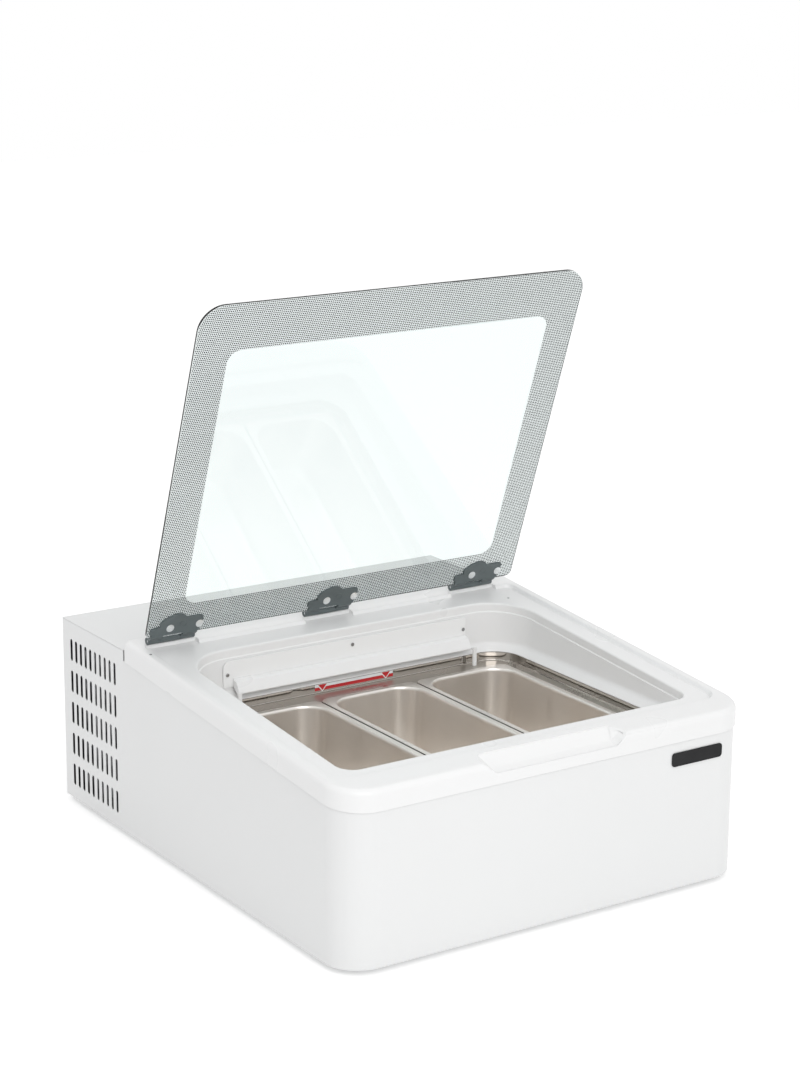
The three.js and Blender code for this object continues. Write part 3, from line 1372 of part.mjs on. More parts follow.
/** Round knob with a finger bar and a pointer rib. */
function thermostatKnob() {
  const base = PANEL_BACK + GAP;
  const skirt = alongY(circleShape(0, 0, KNOB_R), base, base + 3, 7);
  const grip = alongY(roundedShape(-4, 4, 3 - KNOB_R, KNOB_R - 3, 3), base + 2, REARMOST, 1);
  const pointer = box(-0.8, 0.8, base + 2, base + 4, KNOB_R - 5, KNOB_R - 1);
  const boreR = THERMOSTAT_SHAFT_R + RUNNING_GAP;
  const bore = alongY(circleShape(0, 0, boreR), base - 1, REARMOST - 4 + GAP, 5);
  return cut(join(skirt, grip, pointer), bore).translate(THERMOSTAT_X, 0, CONTROLS_Z);
}

function switchBody() {
  const at = (halfX, halfZ, y0, y1) =>
    box(SWITCH_X - halfX, SWITCH_X + halfX, y0, y1, CONTROLS_Z - halfZ, CONTROLS_Z + halfZ);
  return cut(
    join(
      at(SWITCH_HALF_WIDTH + 2.5, SWITCH_HALF_HEIGHT + 2.3, PANEL_BACK + GAP / 2, PANEL_BACK + 2),
      at(SWITCH_HALF_WIDTH, SWITCH_HALF_HEIGHT, PANEL_FRONT - 20, PANEL_BACK + 1),
    ),
    at(SWITCH_HALF_WIDTH - 1.5, SWITCH_HALF_HEIGHT - 1.7, PANEL_BACK - 8, PANEL_BACK + 5),
  );
}

/** Rocker that pivots about an X axis in the switch body, resting with its lower half pressed. */
function switchRocker() {
  const shape = polygon([
    [-3.5, -9],
    [3.2, -10.6],
    [1.6, 0],
    [3.2, 10.6],
    [-3.5, 9],
  ]);
  const half = SWITCH_HALF_WIDTH - 1.5 - 0.4;
  return alongX(shape, -half, half).rotateX(THREE.MathUtils.degToRad(ROCKER_TILT));
}

function cableGland() {
  const inside = PANEL_FRONT - 6;
  return turned(
    [
      [5, inside],
      [10.5, inside],
      [10.5, PANEL_FRONT - GAP],
      [GLAND_NECK_R, PANEL_FRONT - GAP],
      [GLAND_NECK_R, PANEL_BACK + GAP],
      [11, PANEL_BACK + GAP],
      [11, PANEL_BACK + 4],
      [8, PANEL_BACK + 9],
      [5, PANEL_BACK + 9],
      [5, inside],
    ],
    8,
  )
    .rotateX(-Math.PI / 2)
    .translate(GLAND_X, 0, GLAND_Z);
}

// ---------------------------------------------------------------- assembly

const cabinet = new THREE.Group();

function add(name, geometry, material, parent = body) {
  const mesh = new THREE.Mesh(geometry, material.clone());
  mesh.name = name;
  parent.add(mesh);
  return mesh;
}

/** Everything is placed from the middle of the front face's bottom edge. */
const body = new THREE.Group();
body.position.set(0, -MIDDLE_Y, FOOT_HEIGHT);
cabinet.add(body);

add('outer_shell', outerShell(), WHITE_PAINT);
add('base_plate', basePlate(), GALVANISED);
add('rear_top_cover', rearTopCover(), WHITE_PAINT);
add('rear_panel', rearPanel(), GALVANISED);
add('bulkhead', bulkhead(), GALVANISED);
add('foam_insulation', foamInsulation(), FOAM);
add('top_frame', topFrame(), WHITE_PLASTIC);
add('tank_liner', tankLiner(), STAINLESS);
add('evaporator_coil', evaporatorCoil(), COPPER);
add('rear_cover_plate', rearCoverPlate(), WHITE_PAINT);
add('light_bar', lightBar(), WHITE_PLASTIC);
add('led_strip', ledStrip(), OPAL);
add('badge_plate', badgePlate(), BLACK_PLASTIC);

for (const [side, x] of [['left', -1], ['right', 1]]) {
  for (const [end, y] of [['front', FOOT_INSET], ['rear', DEPTH - FOOT_INSET]]) {
    add(`foot_${end}_${side}`, foot().translate(x * (HALF - FOOT_INSET), y, 0), RUBBER);
  }
}

HINGE_SIDES.forEach((side, i) => {
  add(`pan_${side}`, pan().translate((i - 1) * PAN_PITCH, 0, 0), STAINLESS);
});

/** The hinge axis, with the fixed bases and pins level and the lid turned up by its open angle. */
const hingeLine = new THREE.Group();
hingeLine.position.set(0, HINGE_AXIS_Y, HINGE_AXIS_Z);
body.add(hingeLine);

const lid = new THREE.Group();
lid.rotation.x = -THREE.MathUtils.degToRad(LID_OPEN_DEGREES);
hingeLine.add(lid);

add('lid_glass', lidGlass(), CLEAR_GLASS, lid);
HINGE_SIDES.forEach((side, i) => {
  const x = HINGE_CENTRES[i];
  add(`hinge_base_${side}`, hingeBase(x), GREY_PLASTIC, hingeLine);
  add(`hinge_pin_${side}`, hingePin(x), ZINC, hingeLine);
  add(`hinge_leaf_${side}`, hingeLeaf(x), GREY_PLASTIC, lid);
  screwPlaces(x).forEach((place, k) => {
    add(`hinge_screw_${side}_${k + 1}`, hingeScrew(place), ZINC, lid);
  });
});

add('compressor', compressor(), BLACK_PAINT);
add('compressor_mount', compressorMount(), GALVANISED);
GROMMET_PLACES.forEach((place, i) => {
  add(`compressor_grommet_${i + 1}`, grommet(place), RUBBER);
});
add('terminal_box', terminalBox(), BLACK_PLASTIC);
add('condenser_core', condenserCore(), ALUMINIUM);
add('condenser_tube', condenserTube(), COPPER);
add('fan_shroud', fanShroud(), GALVANISED);
add('fan_motor', fanMotor(), BLACK_PLASTIC);
add('fan_blade', fanBlade(), ALUMINIUM);
add('filter_dryer', filterDryer(), COPPER);
add('discharge_pipe', dischargePipe(), COPPER);
add('liquid_pipe', liquidPipe(), COPPER);
add('suction_pipe', suctionPipe(), COPPER);
add('thermostat_body', thermostatBody(), BLACK_PLASTIC);
add('thermostat_knob', thermostatKnob(), BLACK_PLASTIC);
add('switch_body', switchBody(), BLACK_PLASTIC);
add('switch_rocker', switchRocker().translate(SWITCH_X, PANEL_BACK, CONTROLS_Z), BLACK_PLASTIC);
add('cable_gland', cableGland(), BLACK_PLASTIC);

export default cabinet;
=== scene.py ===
"""Looks of a countertop ice cream dipping cabinet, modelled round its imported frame.

Sizes in the text are millimetres. A piece of the cabinet is measured from the middle of the
front face's bottom edge, and a piece of the lid from the hinge axis with the lid closed and level.
"""

import json
import math

import bmesh
import bpy
from mathutils import Matrix, Vector


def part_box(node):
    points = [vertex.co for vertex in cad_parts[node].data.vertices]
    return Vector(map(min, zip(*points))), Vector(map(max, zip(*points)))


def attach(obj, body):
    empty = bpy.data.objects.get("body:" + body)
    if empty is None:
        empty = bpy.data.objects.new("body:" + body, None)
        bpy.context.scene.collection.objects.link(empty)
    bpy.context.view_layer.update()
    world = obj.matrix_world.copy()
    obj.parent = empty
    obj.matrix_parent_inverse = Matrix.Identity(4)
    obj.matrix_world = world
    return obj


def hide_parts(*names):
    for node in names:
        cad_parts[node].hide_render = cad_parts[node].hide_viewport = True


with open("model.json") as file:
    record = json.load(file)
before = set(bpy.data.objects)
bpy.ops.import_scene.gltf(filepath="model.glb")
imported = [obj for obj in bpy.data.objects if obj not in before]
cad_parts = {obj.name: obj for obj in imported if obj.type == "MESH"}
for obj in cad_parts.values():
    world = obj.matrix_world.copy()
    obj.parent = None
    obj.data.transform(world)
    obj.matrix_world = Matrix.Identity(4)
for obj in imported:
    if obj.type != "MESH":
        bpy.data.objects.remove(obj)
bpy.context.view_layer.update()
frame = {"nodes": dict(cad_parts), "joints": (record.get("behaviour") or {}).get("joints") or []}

bl_info = {
    "name": "Dipping Cabinet",
    "version": (1, 0, 0),
    "blender": (4, 5, 0),
    "location": "View3D > Sidebar > Cabinet",
    "description": "Builds an ice cream dipping cabinet round its packed frame",
    "category": "Object",
}

MM = 0.001
SNAP = 2e-5  # metres within which two places count as one
FLAT_SINK = 0.02  # keeps outlines out of one plane, where they would be bridged crosswise
X, Y, Z = range(3)
LID_JOINT = next(joint for joint in frame["joints"] if joint["child"] == "lid")
SHELL_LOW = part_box("outer_shell")[0]
CABINET = Vector((0, SHELL_LOW.y, SHELL_LOW.z))
HINGE_AXIS = Vector(LID_JOINT["pos_m"])
PAN_SIDES = ("left", "middle", "right")

# Plans as half width, front, rear, front corner radius and rear corner radius.
BODY_PLAN = (335, 0, 796, 51, 1.5)
FRAME_PLAN = (337.5, -2.5, 600, 53.5, 12)
LEDGE_PLAN = (318, 47, 552, 26, 12)
MOUTH_PLAN = (288.5, 74, 514, 24, 70)
TANK_PLAN = (269, 92, 500, 45, 45)
WELL_PLAN = (244, 116.5, 463.5, 30, 30)
LEAST_CORNER = 0.6
RIM_FRONT_HEIGHT = 248
RIM_SLOPE = 0.082
HINGE_CENTRES = (-259.5, 5, 269)
SCREW_MIDDLE, SCREW_REACH, SCREW_LINE = -2.8, 24, -24  # the lid's screws, from a hinge's centre


# ---------------------------------------------------------------- settings


def amount(name, description, value, unit="LENGTH", subtype="NONE"):
    return bpy.props.FloatProperty(
        name=name, description=description, default=value, unit=unit, subtype=subtype
    )


def swatch(name, description, value):
    return bpy.props.FloatVectorProperty(
        name=name, description=description, default=value, size=3, min=0, max=1, subtype="COLOR"
    )


class CabinetSizes(bpy.types.PropertyGroup):
    """Sizes of the cabinet's visible pieces"""

    sheet: amount("Sheet", "Thickness of the body sheet", 0.0012)
    slot_width: amount("Slot Width", "Width of a ventilation slot", 0.007)
    slot_height: amount("Slot Height", "Height of a ventilation slot", 0.0345)
    rim_radius: amount("Rim Radius", "Rounding of the top frame's outer rim", 0.009)
    pan_rim: amount("Pan Rim", "Width of a pan's flat rim", 0.009)
    pan_sheet: amount("Pan Sheet", "Thickness of a pan's wall", 0.0012)
    lid_open: amount("Lid Angle", "Angle of the lid above level", math.radians(70.7), "ROTATION", "ANGLE")


class PrintSizes(bpy.types.PropertyGroup):
    """The printed dots round the lid's clear window"""

    pitch: amount("Dot Pitch", "Distance between dots in a row", 0.00309)
    row_pitch: amount("Row Pitch", "Distance between rows of dots", 0.00296)
    dot_radius: amount("Dot Radius", "Radius of a printed dot", 0.00112)


class FinishColours(bpy.types.PropertyGroup):
    """Colours of the cabinet's finishes"""

    paint: swatch("Paint", "White paint of the body sheet", (0.785, 0.79, 0.79))
    plastic: swatch("Plastic", "White plastic of the top frame", (0.83, 0.832, 0.832))
    steel: swatch("Tank Steel", "Polished steel of the tank", (0.54, 0.51, 0.475))
    pan_steel: swatch("Pan Steel", "Satin steel of the pans", (0.9, 0.86, 0.815))
    leaf: swatch("Hinge Leaf", "Grey plastic of the hinge leaves", (0.115, 0.14, 0.144))
    glass: swatch("Glass", "Tint of the lid's glass", (0.87, 0.925, 0.92))
    dots: swatch("Print", "Colour of the dots printed on the lid", (0.022, 0.025, 0.026))


class StageSettings(bpy.types.PropertyGroup):
    """Lamps and room light"""

    front_power: amount("Front Lamp", "Power of the soft lamp in front", 43.0, "POWER")
    top_power: amount("Top Lamp", "Power of the soft lamp above", 6.0, "POWER")
    room: amount("Room Light", "Strength of the light that comes from all round", 0.84, "NONE")


# ---------------------------------------------------------------- outlines


def above_rim(rise):
    """Height of the sloping rim at a distance from the front face, plus a rise."""
    return lambda y: RIM_FRONT_HEIGHT + RIM_SLOPE * y + rise


def level(height):
    return lambda y: height


def inset(plan, distance):
    """A plan drawn in by a distance, or out where it is negative."""
    half, front, rear, *corners = plan
    corners = [max(radius - distance, LEAST_CORNER) for radius in corners]
    return (half - distance, front + distance, rear - distance, *corners)


def stack(plan, height, *steps):
    """Outlines of one plan for a loft, each given as how far it is drawn in and its height."""
    return [(inset(plan, distance), height(z)) for distance, z in steps]


def quarter_round(radius, steps):
    """Steps of a quarter circle, each as its distance in and its distance up."""
    angles = [math.pi / 2 * step / steps for step in range(steps + 1)]
    return [(radius * (1 - math.cos(a)), radius * math.sin(a)) for a in angles]


def rectangle(left, right, low, high):
    return [(left, low), (right, low), (right, high), (left, high)]


def screw_places(*centres):
    """The lid's screws, two to a hinge."""
    return [(c + SCREW_MIDDLE + side * SCREW_REACH, SCREW_LINE) for c in centres for side in (-1, 1)]


# ---------------------------------------------------------------- modelling bench


def round_corners(radius, steps=6):
    """Rounds the selected corners of a flat face."""
    bpy.ops.mesh.bevel(
        offset_type="ABSOLUTE", offset=radius * MM, segments=steps, affect="VERTICES", profile=0.5
    )


def round_edges(radius, steps, clamp=False):
    bpy.ops.mesh.bevel(
        offset=radius * MM, segments=steps, profile=0.5, affect="EDGES", clamp_overlap=clamp
    )


def select_all(action="SELECT"):
    bpy.ops.mesh.select_all(action=action)


class Bench:
    """One new piece, open in edit mode, with its sizes in millimetres from a datum."""

    def __init__(self, name, datum=CABINET, mesh=None):
        self.object = bpy.data.objects.new(name, mesh or bpy.data.meshes.new(name))
        bpy.context.scene.collection.objects.link(self.object)
        self.datum = datum
        self.loops = 0
        self.open()

    def activate(self):
        bpy.ops.object.select_all(action="DESELECT")
        bpy.context.view_layer.objects.active = self.object
        self.object.select_set(True)

    def open(self):
        self.activate()
        bpy.ops.object.mode_set(mode="EDIT")

    def close(self):
        bpy.ops.object.mode_set(mode="OBJECT")

    def at(self, x, y, z):
        return self.datum + Vector((x, y, z)) * MM

    def mesh(self):
        return bmesh.from_edit_mesh(self.object.data)

    def layer(self):
        """Each vertex's loop number, which says with which outline it was made."""
        layers = self.mesh().verts.layers.int
        return layers.get("loop") or layers.new("loop")

    # Selecting

    def pick(self, kind, test=lambda item: True):
        """Selects the vertices, edges or faces that pass a test, and nothing else."""
        kinds = ("verts", "edges", "faces")
        bpy.context.tool_settings.mesh_select_mode = [kind == other for other in kinds]
        bm = self.mesh()
        for group in (bm.faces, bm.edges, bm.verts):
            for item in group:
                item.select = False
        for item in [item for item in getattr(bm, kind) if test(item)]:
            item.select = True
        bm.select_flush_mode()
        bmesh.update_edit_mesh(self.object.data)

    def pick_box(self, kind, x=None, y=None, z=None, margin=0.02):
        """Selects what lies between pairs of limits, or at single places, along the axes."""
        limits = []
        for axis, limit in enumerate((x, y, z)):
            if limit is not None:
                low, high = limit if isinstance(limit, tuple) else (limit, limit)
                limits.append((axis, low - margin, high + margin))

        def inside(item):
            ends = [item] if kind == "verts" else item.verts
            places = [(end.co - self.datum) / MM for end in ends]
            return all(low <= place[axis] <= high for place in places for axis, low, high in limits)

        self.pick(kind, inside)

    def pick_loop(self, number):
        layer = self.layer()
        self.pick("verts", lambda v: v[layer] == number)

    def mark(self):
        """Gives the new, selected vertices a loop number of their own."""
        self.loops += 1
        layer = self.layer()
        for vertex in self.mesh().verts:
            if vertex.select:
                vertex[layer] = self.loops
        bmesh.update_edit_mesh(self.object.data)
        return self.loops

    # Making

    def outline(self, plan, height, x=0.0, steps=10):
        """A rounded rectangle at a height that may rise to the rear."""
        half, front, rear, front_r, rear_r = plan
        middle = (front + rear) / 2
        centre = self.at(x, middle, height(middle))
        select_all("DESELECT")
        bpy.ops.mesh.primitive_plane_add(size=1, location=centre)
        size = (2 * half * MM, (rear - front) * MM, 1)
        bpy.ops.transform.resize(value=size, center_override=centre)
        number = self.mark()
        sides = [self.at(x - half, 0, 0).x, self.at(x + half, 0, 0).x]
        for edge, radius in ((front, front_r), (rear, rear_r)):
            layer = self.layer()
            line = self.at(0, edge, 0).y

            def corner(v):
                near_side = min(abs(v.co.x - side) for side in sides) < SNAP
                return v[layer] == number and abs(v.co.y - line) < SNAP and near_side

            self.pick("verts", corner)
            round_corners(radius, steps)
        slope = (height(rear) - height(front)) / (rear - front)
        if slope:
            angle = math.asin(slope)
            self.pick_loop(number)
            bpy.ops.transform.rotate(value=-angle, orient_axis="X", center_override=centre)
            bpy.ops.transform.resize(value=(1, 1 / math.cos(angle), 1), center_override=centre)
        return number

    def bridge_all(self, loops, closed=False):
        """Takes the faces off a row of outlines and bridges each to the next."""
        layer = self.layer()
        self.pick("faces", lambda f: f.verts[0][layer] in loops)
        bpy.ops.mesh.delete(type="ONLY_FACE")
        for pair in zip(loops, loops[1:] + loops[:1] if closed else loops[1:]):
            self.bridge(pair)

    def bridge(self, pair):
        layer = self.layer()
        self.pick("edges", lambda e: e.verts[0][layer] == e.verts[1][layer] and e.verts[0][layer] in pair)
        bpy.ops.mesh.bridge_edge_loops()

    def loft(self, sections, x=0.0, ends="capped", steps=10):
        """A skin over a stack of rounded rectangles, its ends capped, open or joined.

        Outlines that follow another in the same plane are sunk a little below it.
        """
        loops = []
        sink = 0.0
        before = None
        for plan, height in sections:
            flat = before and all(abs(height(y) - before(y)) < 1e-6 for y in (0, 500))
            sink = sink + FLAT_SINK if flat else 0.0
            loops.append(self.outline(plan, lambda y, h=height, s=sink: h(y) - s, x, steps))
            before = height
        self.bridge_all(loops, ends == "joined")
        if ends == "capped":
            for number in (loops[0], loops[-1]):
                self.pick_loop(number)
                bpy.ops.mesh.edge_face_add()

    def profile(self, points):
        """A flat face through points, each moved to its place from a small round face."""
        places = [self.at(*point) for point in points]
        select_all("DESELECT")
        bpy.ops.mesh.primitive_circle_add(
            vertices=len(places), radius=MM, fill_type="NGON", location=places[0]
        )
        number = self.mark()
        layer = self.layer()
        indices = [v.index for v in self.mesh().verts if v[layer] == number]
        for index, place in zip(indices, places):
            self.pick("verts", lambda v: v.index == index)
            bm = self.mesh()
            bm.verts.ensure_lookup_table()
            bpy.ops.transform.translate(value=place - bm.verts[index].co)
        self.pick_loop(number)
        return number

    def extrude(self, x=0.0, y=0.0, z=0.0):
        move = Vector((x, y, z)) * MM
        bpy.ops.mesh.extrude_region_move(TRANSFORM_OT_translate={"value": move})

    def inset_face(self, z, width, rise):
        """Draws the face at a height in, and moves its middle up."""
        self.pick_box("faces", z=z)
        bpy.ops.mesh.inset(thickness=width * MM)
        self.extrude(z=rise)

    def rod(self, radius, start, end, steps):
        """A round rod between two points that differ along one axis."""
        first, last = self.at(*start), self.at(*end)
        along = last - first
        turn = Vector((0, 0, 1)).rotation_difference(along).to_euler()
        select_all("DESELECT")
        bpy.ops.mesh.primitive_cylinder_add(
            vertices=steps, radius=radius * MM, depth=along.length, location=(first + last) / 2, rotation=turn
        )

    # Finishing

    def tidy(self):
        """Merges doubled points and turns every face outwards."""
        select_all()
        bpy.ops.mesh.remove_doubles(threshold=SNAP / 4)
        select_all()
        bpy.ops.mesh.normals_make_consistent(inside=False)

    def seal(self):
        self.tidy()
        self.close()
        return self

    def modify(self, kind, **settings):
        """Adds a modifier with its settings and applies it."""
        self.activate()
        modifier = self.object.modifiers.new(kind.title(), kind)
        for name, value in settings.items():
            setattr(modifier, name, value)
        bpy.ops.object.modifier_apply(modifier=modifier.name)

    def combine(self, other, operation):
        self.modify("BOOLEAN", operation=operation, object=other.object, solver="EXACT")
        mesh = other.object.data
        bpy.data.objects.remove(other.object)
        bpy.data.meshes.remove(mesh)

    def join(self, other):
        self.combine(other, "UNION")

    def cut(self, other):
        self.combine(other, "DIFFERENCE")

    def soften(self, width, steps=2, angle=40):
        """Rounds the sharp edges of a closed piece."""
        self.modify(
            "BEVEL",
            width=width * MM,
            segments=steps,
            limit_method="ANGLE",
            angle_limit=math.radians(angle),
            miter_outer="MITER_ARC",
        )

    def swing(self, angle):
        """Turns a lid piece up about the hinge axis."""
        self.open()
        select_all()
        bpy.ops.transform.rotate(value=angle, orient_axis="X", center_override=HINGE_AXIS)
        self.close()

    def hand_over(self, body, slot, finish, replaces=None, smooth=40):
        """Shades the finished piece, hangs it on its body, gives it its finish and hides the CAD part that it
        replaces.
        """
        piece = self.object
        self.activate()
        bpy.ops.object.shade_smooth_by_angle(angle=math.radians(smooth))
        self.modify("WEIGHTED_NORMAL", keep_sharp=True, weight=80)
        layer = piece.data.attributes.get("loop")
        if layer:
            piece.data.attributes.remove(layer)
        piece.data.materials.clear()
        piece.data.materials.append(FINISHES[finish])
        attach(piece, body)
        if replaces:
            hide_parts(replaces)

    def second_finish(self, finish, test):
        """Gives the faces that pass a test another finish than the rest of the piece."""
        self.object.data.materials.append(FINISHES[finish])
        self.open()
        self.pick("faces", test)
        self.object.active_material_index = 1
        bpy.ops.object.material_slot_assign()
        self.close()


def prism(name, axis, start, depth, outline, datum=CABINET):
    """A solid of one outline, which is given in the other two axes, along an axis."""
    bench = Bench(name, datum)
    bench.profile([(*point[:axis], start, *point[axis:]) for point in outline])
    bench.extrude(**{"xyz"[axis]: depth})
    return bench.seal()


def block(name, *limits):
    """A block between pairs of limits along the axes."""
    bench = Bench(name)
    centre = bench.at(*(sum(pair) / 2 for pair in limits))
    bpy.ops.mesh.primitive_cube_add(size=1, location=centre)
    size = [(high - low) * MM for low, high in limits]
    bpy.ops.transform.resize(value=size, center_override=centre)
    bench.close()
    return bench


def softened_copy(name, node, width, steps=2):
    """A copy of a CAD node with its flat faces merged and its edges rounded."""
    bench = Bench(name, mesh=frame["nodes"][node].data.copy())
    select_all()
    bpy.ops.mesh.customdata_custom_splitnormals_clear()
    bpy.ops.mesh.remove_doubles(threshold=SNAP / 2)
    select_all()
    bpy.ops.mesh.dissolve_limited(angle_limit=math.radians(2))
    bench.close()
    bench.soften(width, steps, 35)
    return bench


# ---------------------------------------------------------------- finishes


class Nodes:
    """A node tree, with short ways to add to it."""

    def __init__(self, tree):
        self.tree = tree

    def feed(self, socket, value):
        """Gives a socket a plain value, or links it to another node's output."""
        if isinstance(value, bpy.types.NodeSocket):
            self.tree.links.new(value, socket)
        else:
            socket.default_value = value

    def node(self, kind, inputs=(), **settings):
        made = self.tree.nodes.new("ShaderNode" + kind)
        for name, value in settings.items():
            setattr(made, name, value)
        for socket, value in dict(inputs).items():
            self.feed(made.inputs[socket], value)
        return made.outputs

    def maths(self, operation, *values):
        return self.node("Math", enumerate(values), operation=operation)[0]

    def spread(self, source, low, high, start=0.0, end=1.0):
        """Maps a range of a pattern onto a pair of values."""
        limits = {"From Min": start, "From Max": end, "To Min": low, "To Max": high}
        return self.node("MapRange", {**limits, "Value": source})["Result"]

    def seen(self, *rays):
        """1 for rays of the given kinds, and 0 for others."""
        outputs = self.node("LightPath")
        first, *others = [outputs[f"Is {ray} Ray"] for ray in rays]
        for other in others:
            first = self.maths("MAXIMUM", first, other)
        return first


class Finish(Nodes):
    """A material whose plain values are on its shader and whose detail comes from nodes."""

    def __init__(self, name, colour, roughness, metallic=0.0, **sockets):
        self.material = bpy.data.materials.new(name)
        self.material.use_nodes = True
        super().__init__(self.material.node_tree)
        self.shader = self.tree.nodes["Principled BSDF"]
        self.colour = (*colour, 1)
        self.normal = None
        plain = {"Base Color": self.colour, "Roughness": roughness, "Metallic": metallic}
        for socket, value in plain.items():
            self.shader.inputs[socket].default_value = value
        for socket, value in sockets.items():
            self.shader.inputs[socket.replace("_", " ").title().replace("Ior", "IOR")].default_value = value
        self.place = self.node("TexCoord")["Object"]

    def noise(self, scale, detail=2.0, stretch=None):
        place = self.place
        if stretch:
            place = self.node("Mapping", {"Scale": stretch, "Vector": place})["Vector"]
        return self.node("TexNoise", {"Scale": scale, "Detail": detail, "Vector": place})["Fac"]

    def vary_roughness(self, source, low, high):
        """Spreads a pattern's middle part, where most of it lies, over two roughnesses."""
        self.feed(self.shader.inputs["Roughness"], self.spread(source, low, high, 0.3, 0.7))

    def vary_colour(self, source, other):
        """Blends the finish's colour towards another where a pattern is high."""
        share = self.spread(source, 0.0, 1.0, 0.3, 0.7)
        mix = self.node("Mix", {0: share, 6: self.colour, 7: (*other, 1)}, data_type="RGBA")
        self.feed(self.shader.inputs["Base Color"], mix[2])

    def bump(self, source, distance, strength):
        """Adds relief, in millimetres, over any that is there."""
        relief = {"Distance": distance * MM, "Strength": strength, "Height": source}
        if self.normal:
            relief["Normal"] = self.normal
        self.normal = self.node("Bump", relief)["Normal"]
        self.feed(self.shader.inputs["Normal"], self.normal)

    def blend(self, kind, inputs):
        """Puts a mix or a sum of shaders in place of the plain shader."""
        self.feed(self.tree.nodes["Material Output"].inputs["Surface"], self.node(kind, inputs)["Shader"])


def darker(colour, share):
    return tuple(channel * (1 - share) for channel in colour)


def white(name, colour, roughness, fade, clouds, gloss, grain, depth, **sockets):
    """A white coat or moulding: faint slow clouds, an uneven gloss and a very fine grain.

    The gloss is a noise scale and the two roughnesses that it varies between.
    """
    scale, low, high = gloss
    made = Finish(name, colour, roughness, **sockets)
    made.vary_colour(made.noise(clouds), darker(colour, fade))
    made.vary_roughness(made.noise(scale), low, high)
    made.bump(made.noise(grain, 1), depth, 0.15)
    return made.material


def tank_steel(name, colour, low, high):
    """Polished sheet, slightly wavy, with a cloudy gloss between two roughnesses."""
    made = Finish(name, colour, low, 1.0)
    made.vary_roughness(made.noise(9), low, high)
    made.bump(made.noise(5, 1), 0.4, 0.12)
    return made.material


def pan_steel(colour):
    """Satin deep-drawn sheet: streaks drawn up the walls, cloudy gloss, faint scratches."""
    made = Finish("pan_steel", colour, 0.36, 1.0)
    made.vary_colour(made.noise(12, 4), darker(colour, 0.05))
    made.vary_roughness(made.noise(25, 5, (1, 1, 0.25)), 0.29, 0.38)
    made.bump(made.noise(500, 3, (1, 1, 0.03)), 0.01, 0.3)
    made.bump(made.noise(16), 0.3, 0.15)
    return made.material


def lid_glass(colour):
    """Clear float glass that lets lamps through."""
    made = Finish("lid_glass", colour, 0.02, transmission_weight=1.0, ior=1.5)
    made.vary_roughness(made.noise(4), 0.0, 0.015)
    clear = made.node("BsdfTransparent", {"Color": (0.95, 0.98, 0.97, 1)})["BSDF"]
    made.blend("MixShader", {"Fac": made.seen("Shadow"), 1: made.shader.outputs["BSDF"], 2: clear})
    return made.material


def printed_dots(colour, sizes, angle):
    """Rows of dark enamel dots, each row shifted by half a pitch, on clear film."""
    made = Finish("printed_dots", colour, 0.5, specular_ior_level=0.2)
    made.vary_roughness(made.noise(40, 3), 0.4, 0.6)
    maths = made.maths
    to_level = -(Matrix.Rotation(angle, 3, "X") @ HINGE_AXIS)
    turned = made.node("Mapping", {"Rotation": (angle, 0, 0), "Location": to_level, "Vector": made.place})
    place = made.node("SeparateXYZ", {"Vector": turned["Vector"]})
    row = maths("DIVIDE", place["Y"], sizes.row_pitch)
    shift = maths("MULTIPLY", maths("MODULO", maths("FLOOR", row), 2.0), 0.5)
    column = maths("ADD", maths("DIVIDE", place["X"], sizes.pitch), shift)
    squares = []
    for count, pitch in ((column, sizes.pitch), (row, sizes.row_pitch)):
        off = maths("MULTIPLY", maths("SUBTRACT", maths("FRACT", count), 0.5), pitch)
        squares.append(maths("MULTIPLY", off, off))
    inked = maths("LESS_THAN", maths("ADD", *squares), sizes.dot_radius**2)
    clear = made.node("BsdfTransparent")["BSDF"]
    made.blend("MixShader", {"Fac": inked, 1: clear, 2: made.shader.outputs["BSDF"]})
    return made.material


def grained(name, colour, roughness, grain=1600, depth=0.02, **sockets):
    """A moulded or coated finish with an even fine grain and uneven gloss."""
    made = Finish(name, colour, roughness, **sockets)
    made.vary_colour(made.noise(25, 4), darker(colour, 0.15))
    made.vary_roughness(made.noise(45, 3), roughness * 0.8, roughness * 1.2)
    made.bump(made.noise(grain), depth, 0.4)
    return made.material


def drawn_metal(name, colour, roughness, stretch, stain):
    """Bare metal with drawing lines along one axis and darker stains."""
    made = Finish(name, colour, roughness, 1.0)
    made.vary_colour(made.noise(30, 5), stain)
    made.vary_roughness(made.noise(120, 5, stretch), roughness * 0.7, roughness * 1.3)
    made.bump(made.noise(900, 3, stretch), 0.015, 0.3)
    return made.material


def galvanised_sheet():
    """Zinc-coated sheet with its frost-like crystals."""
    made = Finish("galvanised_sheet", (0.5, 0.515, 0.52), 0.42, 1.0)
    crystals = made.node("TexVoronoi", {"Scale": 95, "Vector": made.place}, feature="F1")
    tones = made.node("SeparateColor", {"Color": crystals["Color"]})
    made.vary_colour(tones[0], (0.56, 0.575, 0.58))
    made.vary_roughness(tones[1], 0.38, 0.48)
    made.bump(made.noise(300, 3), 0.02, 0.3)
    return made.material


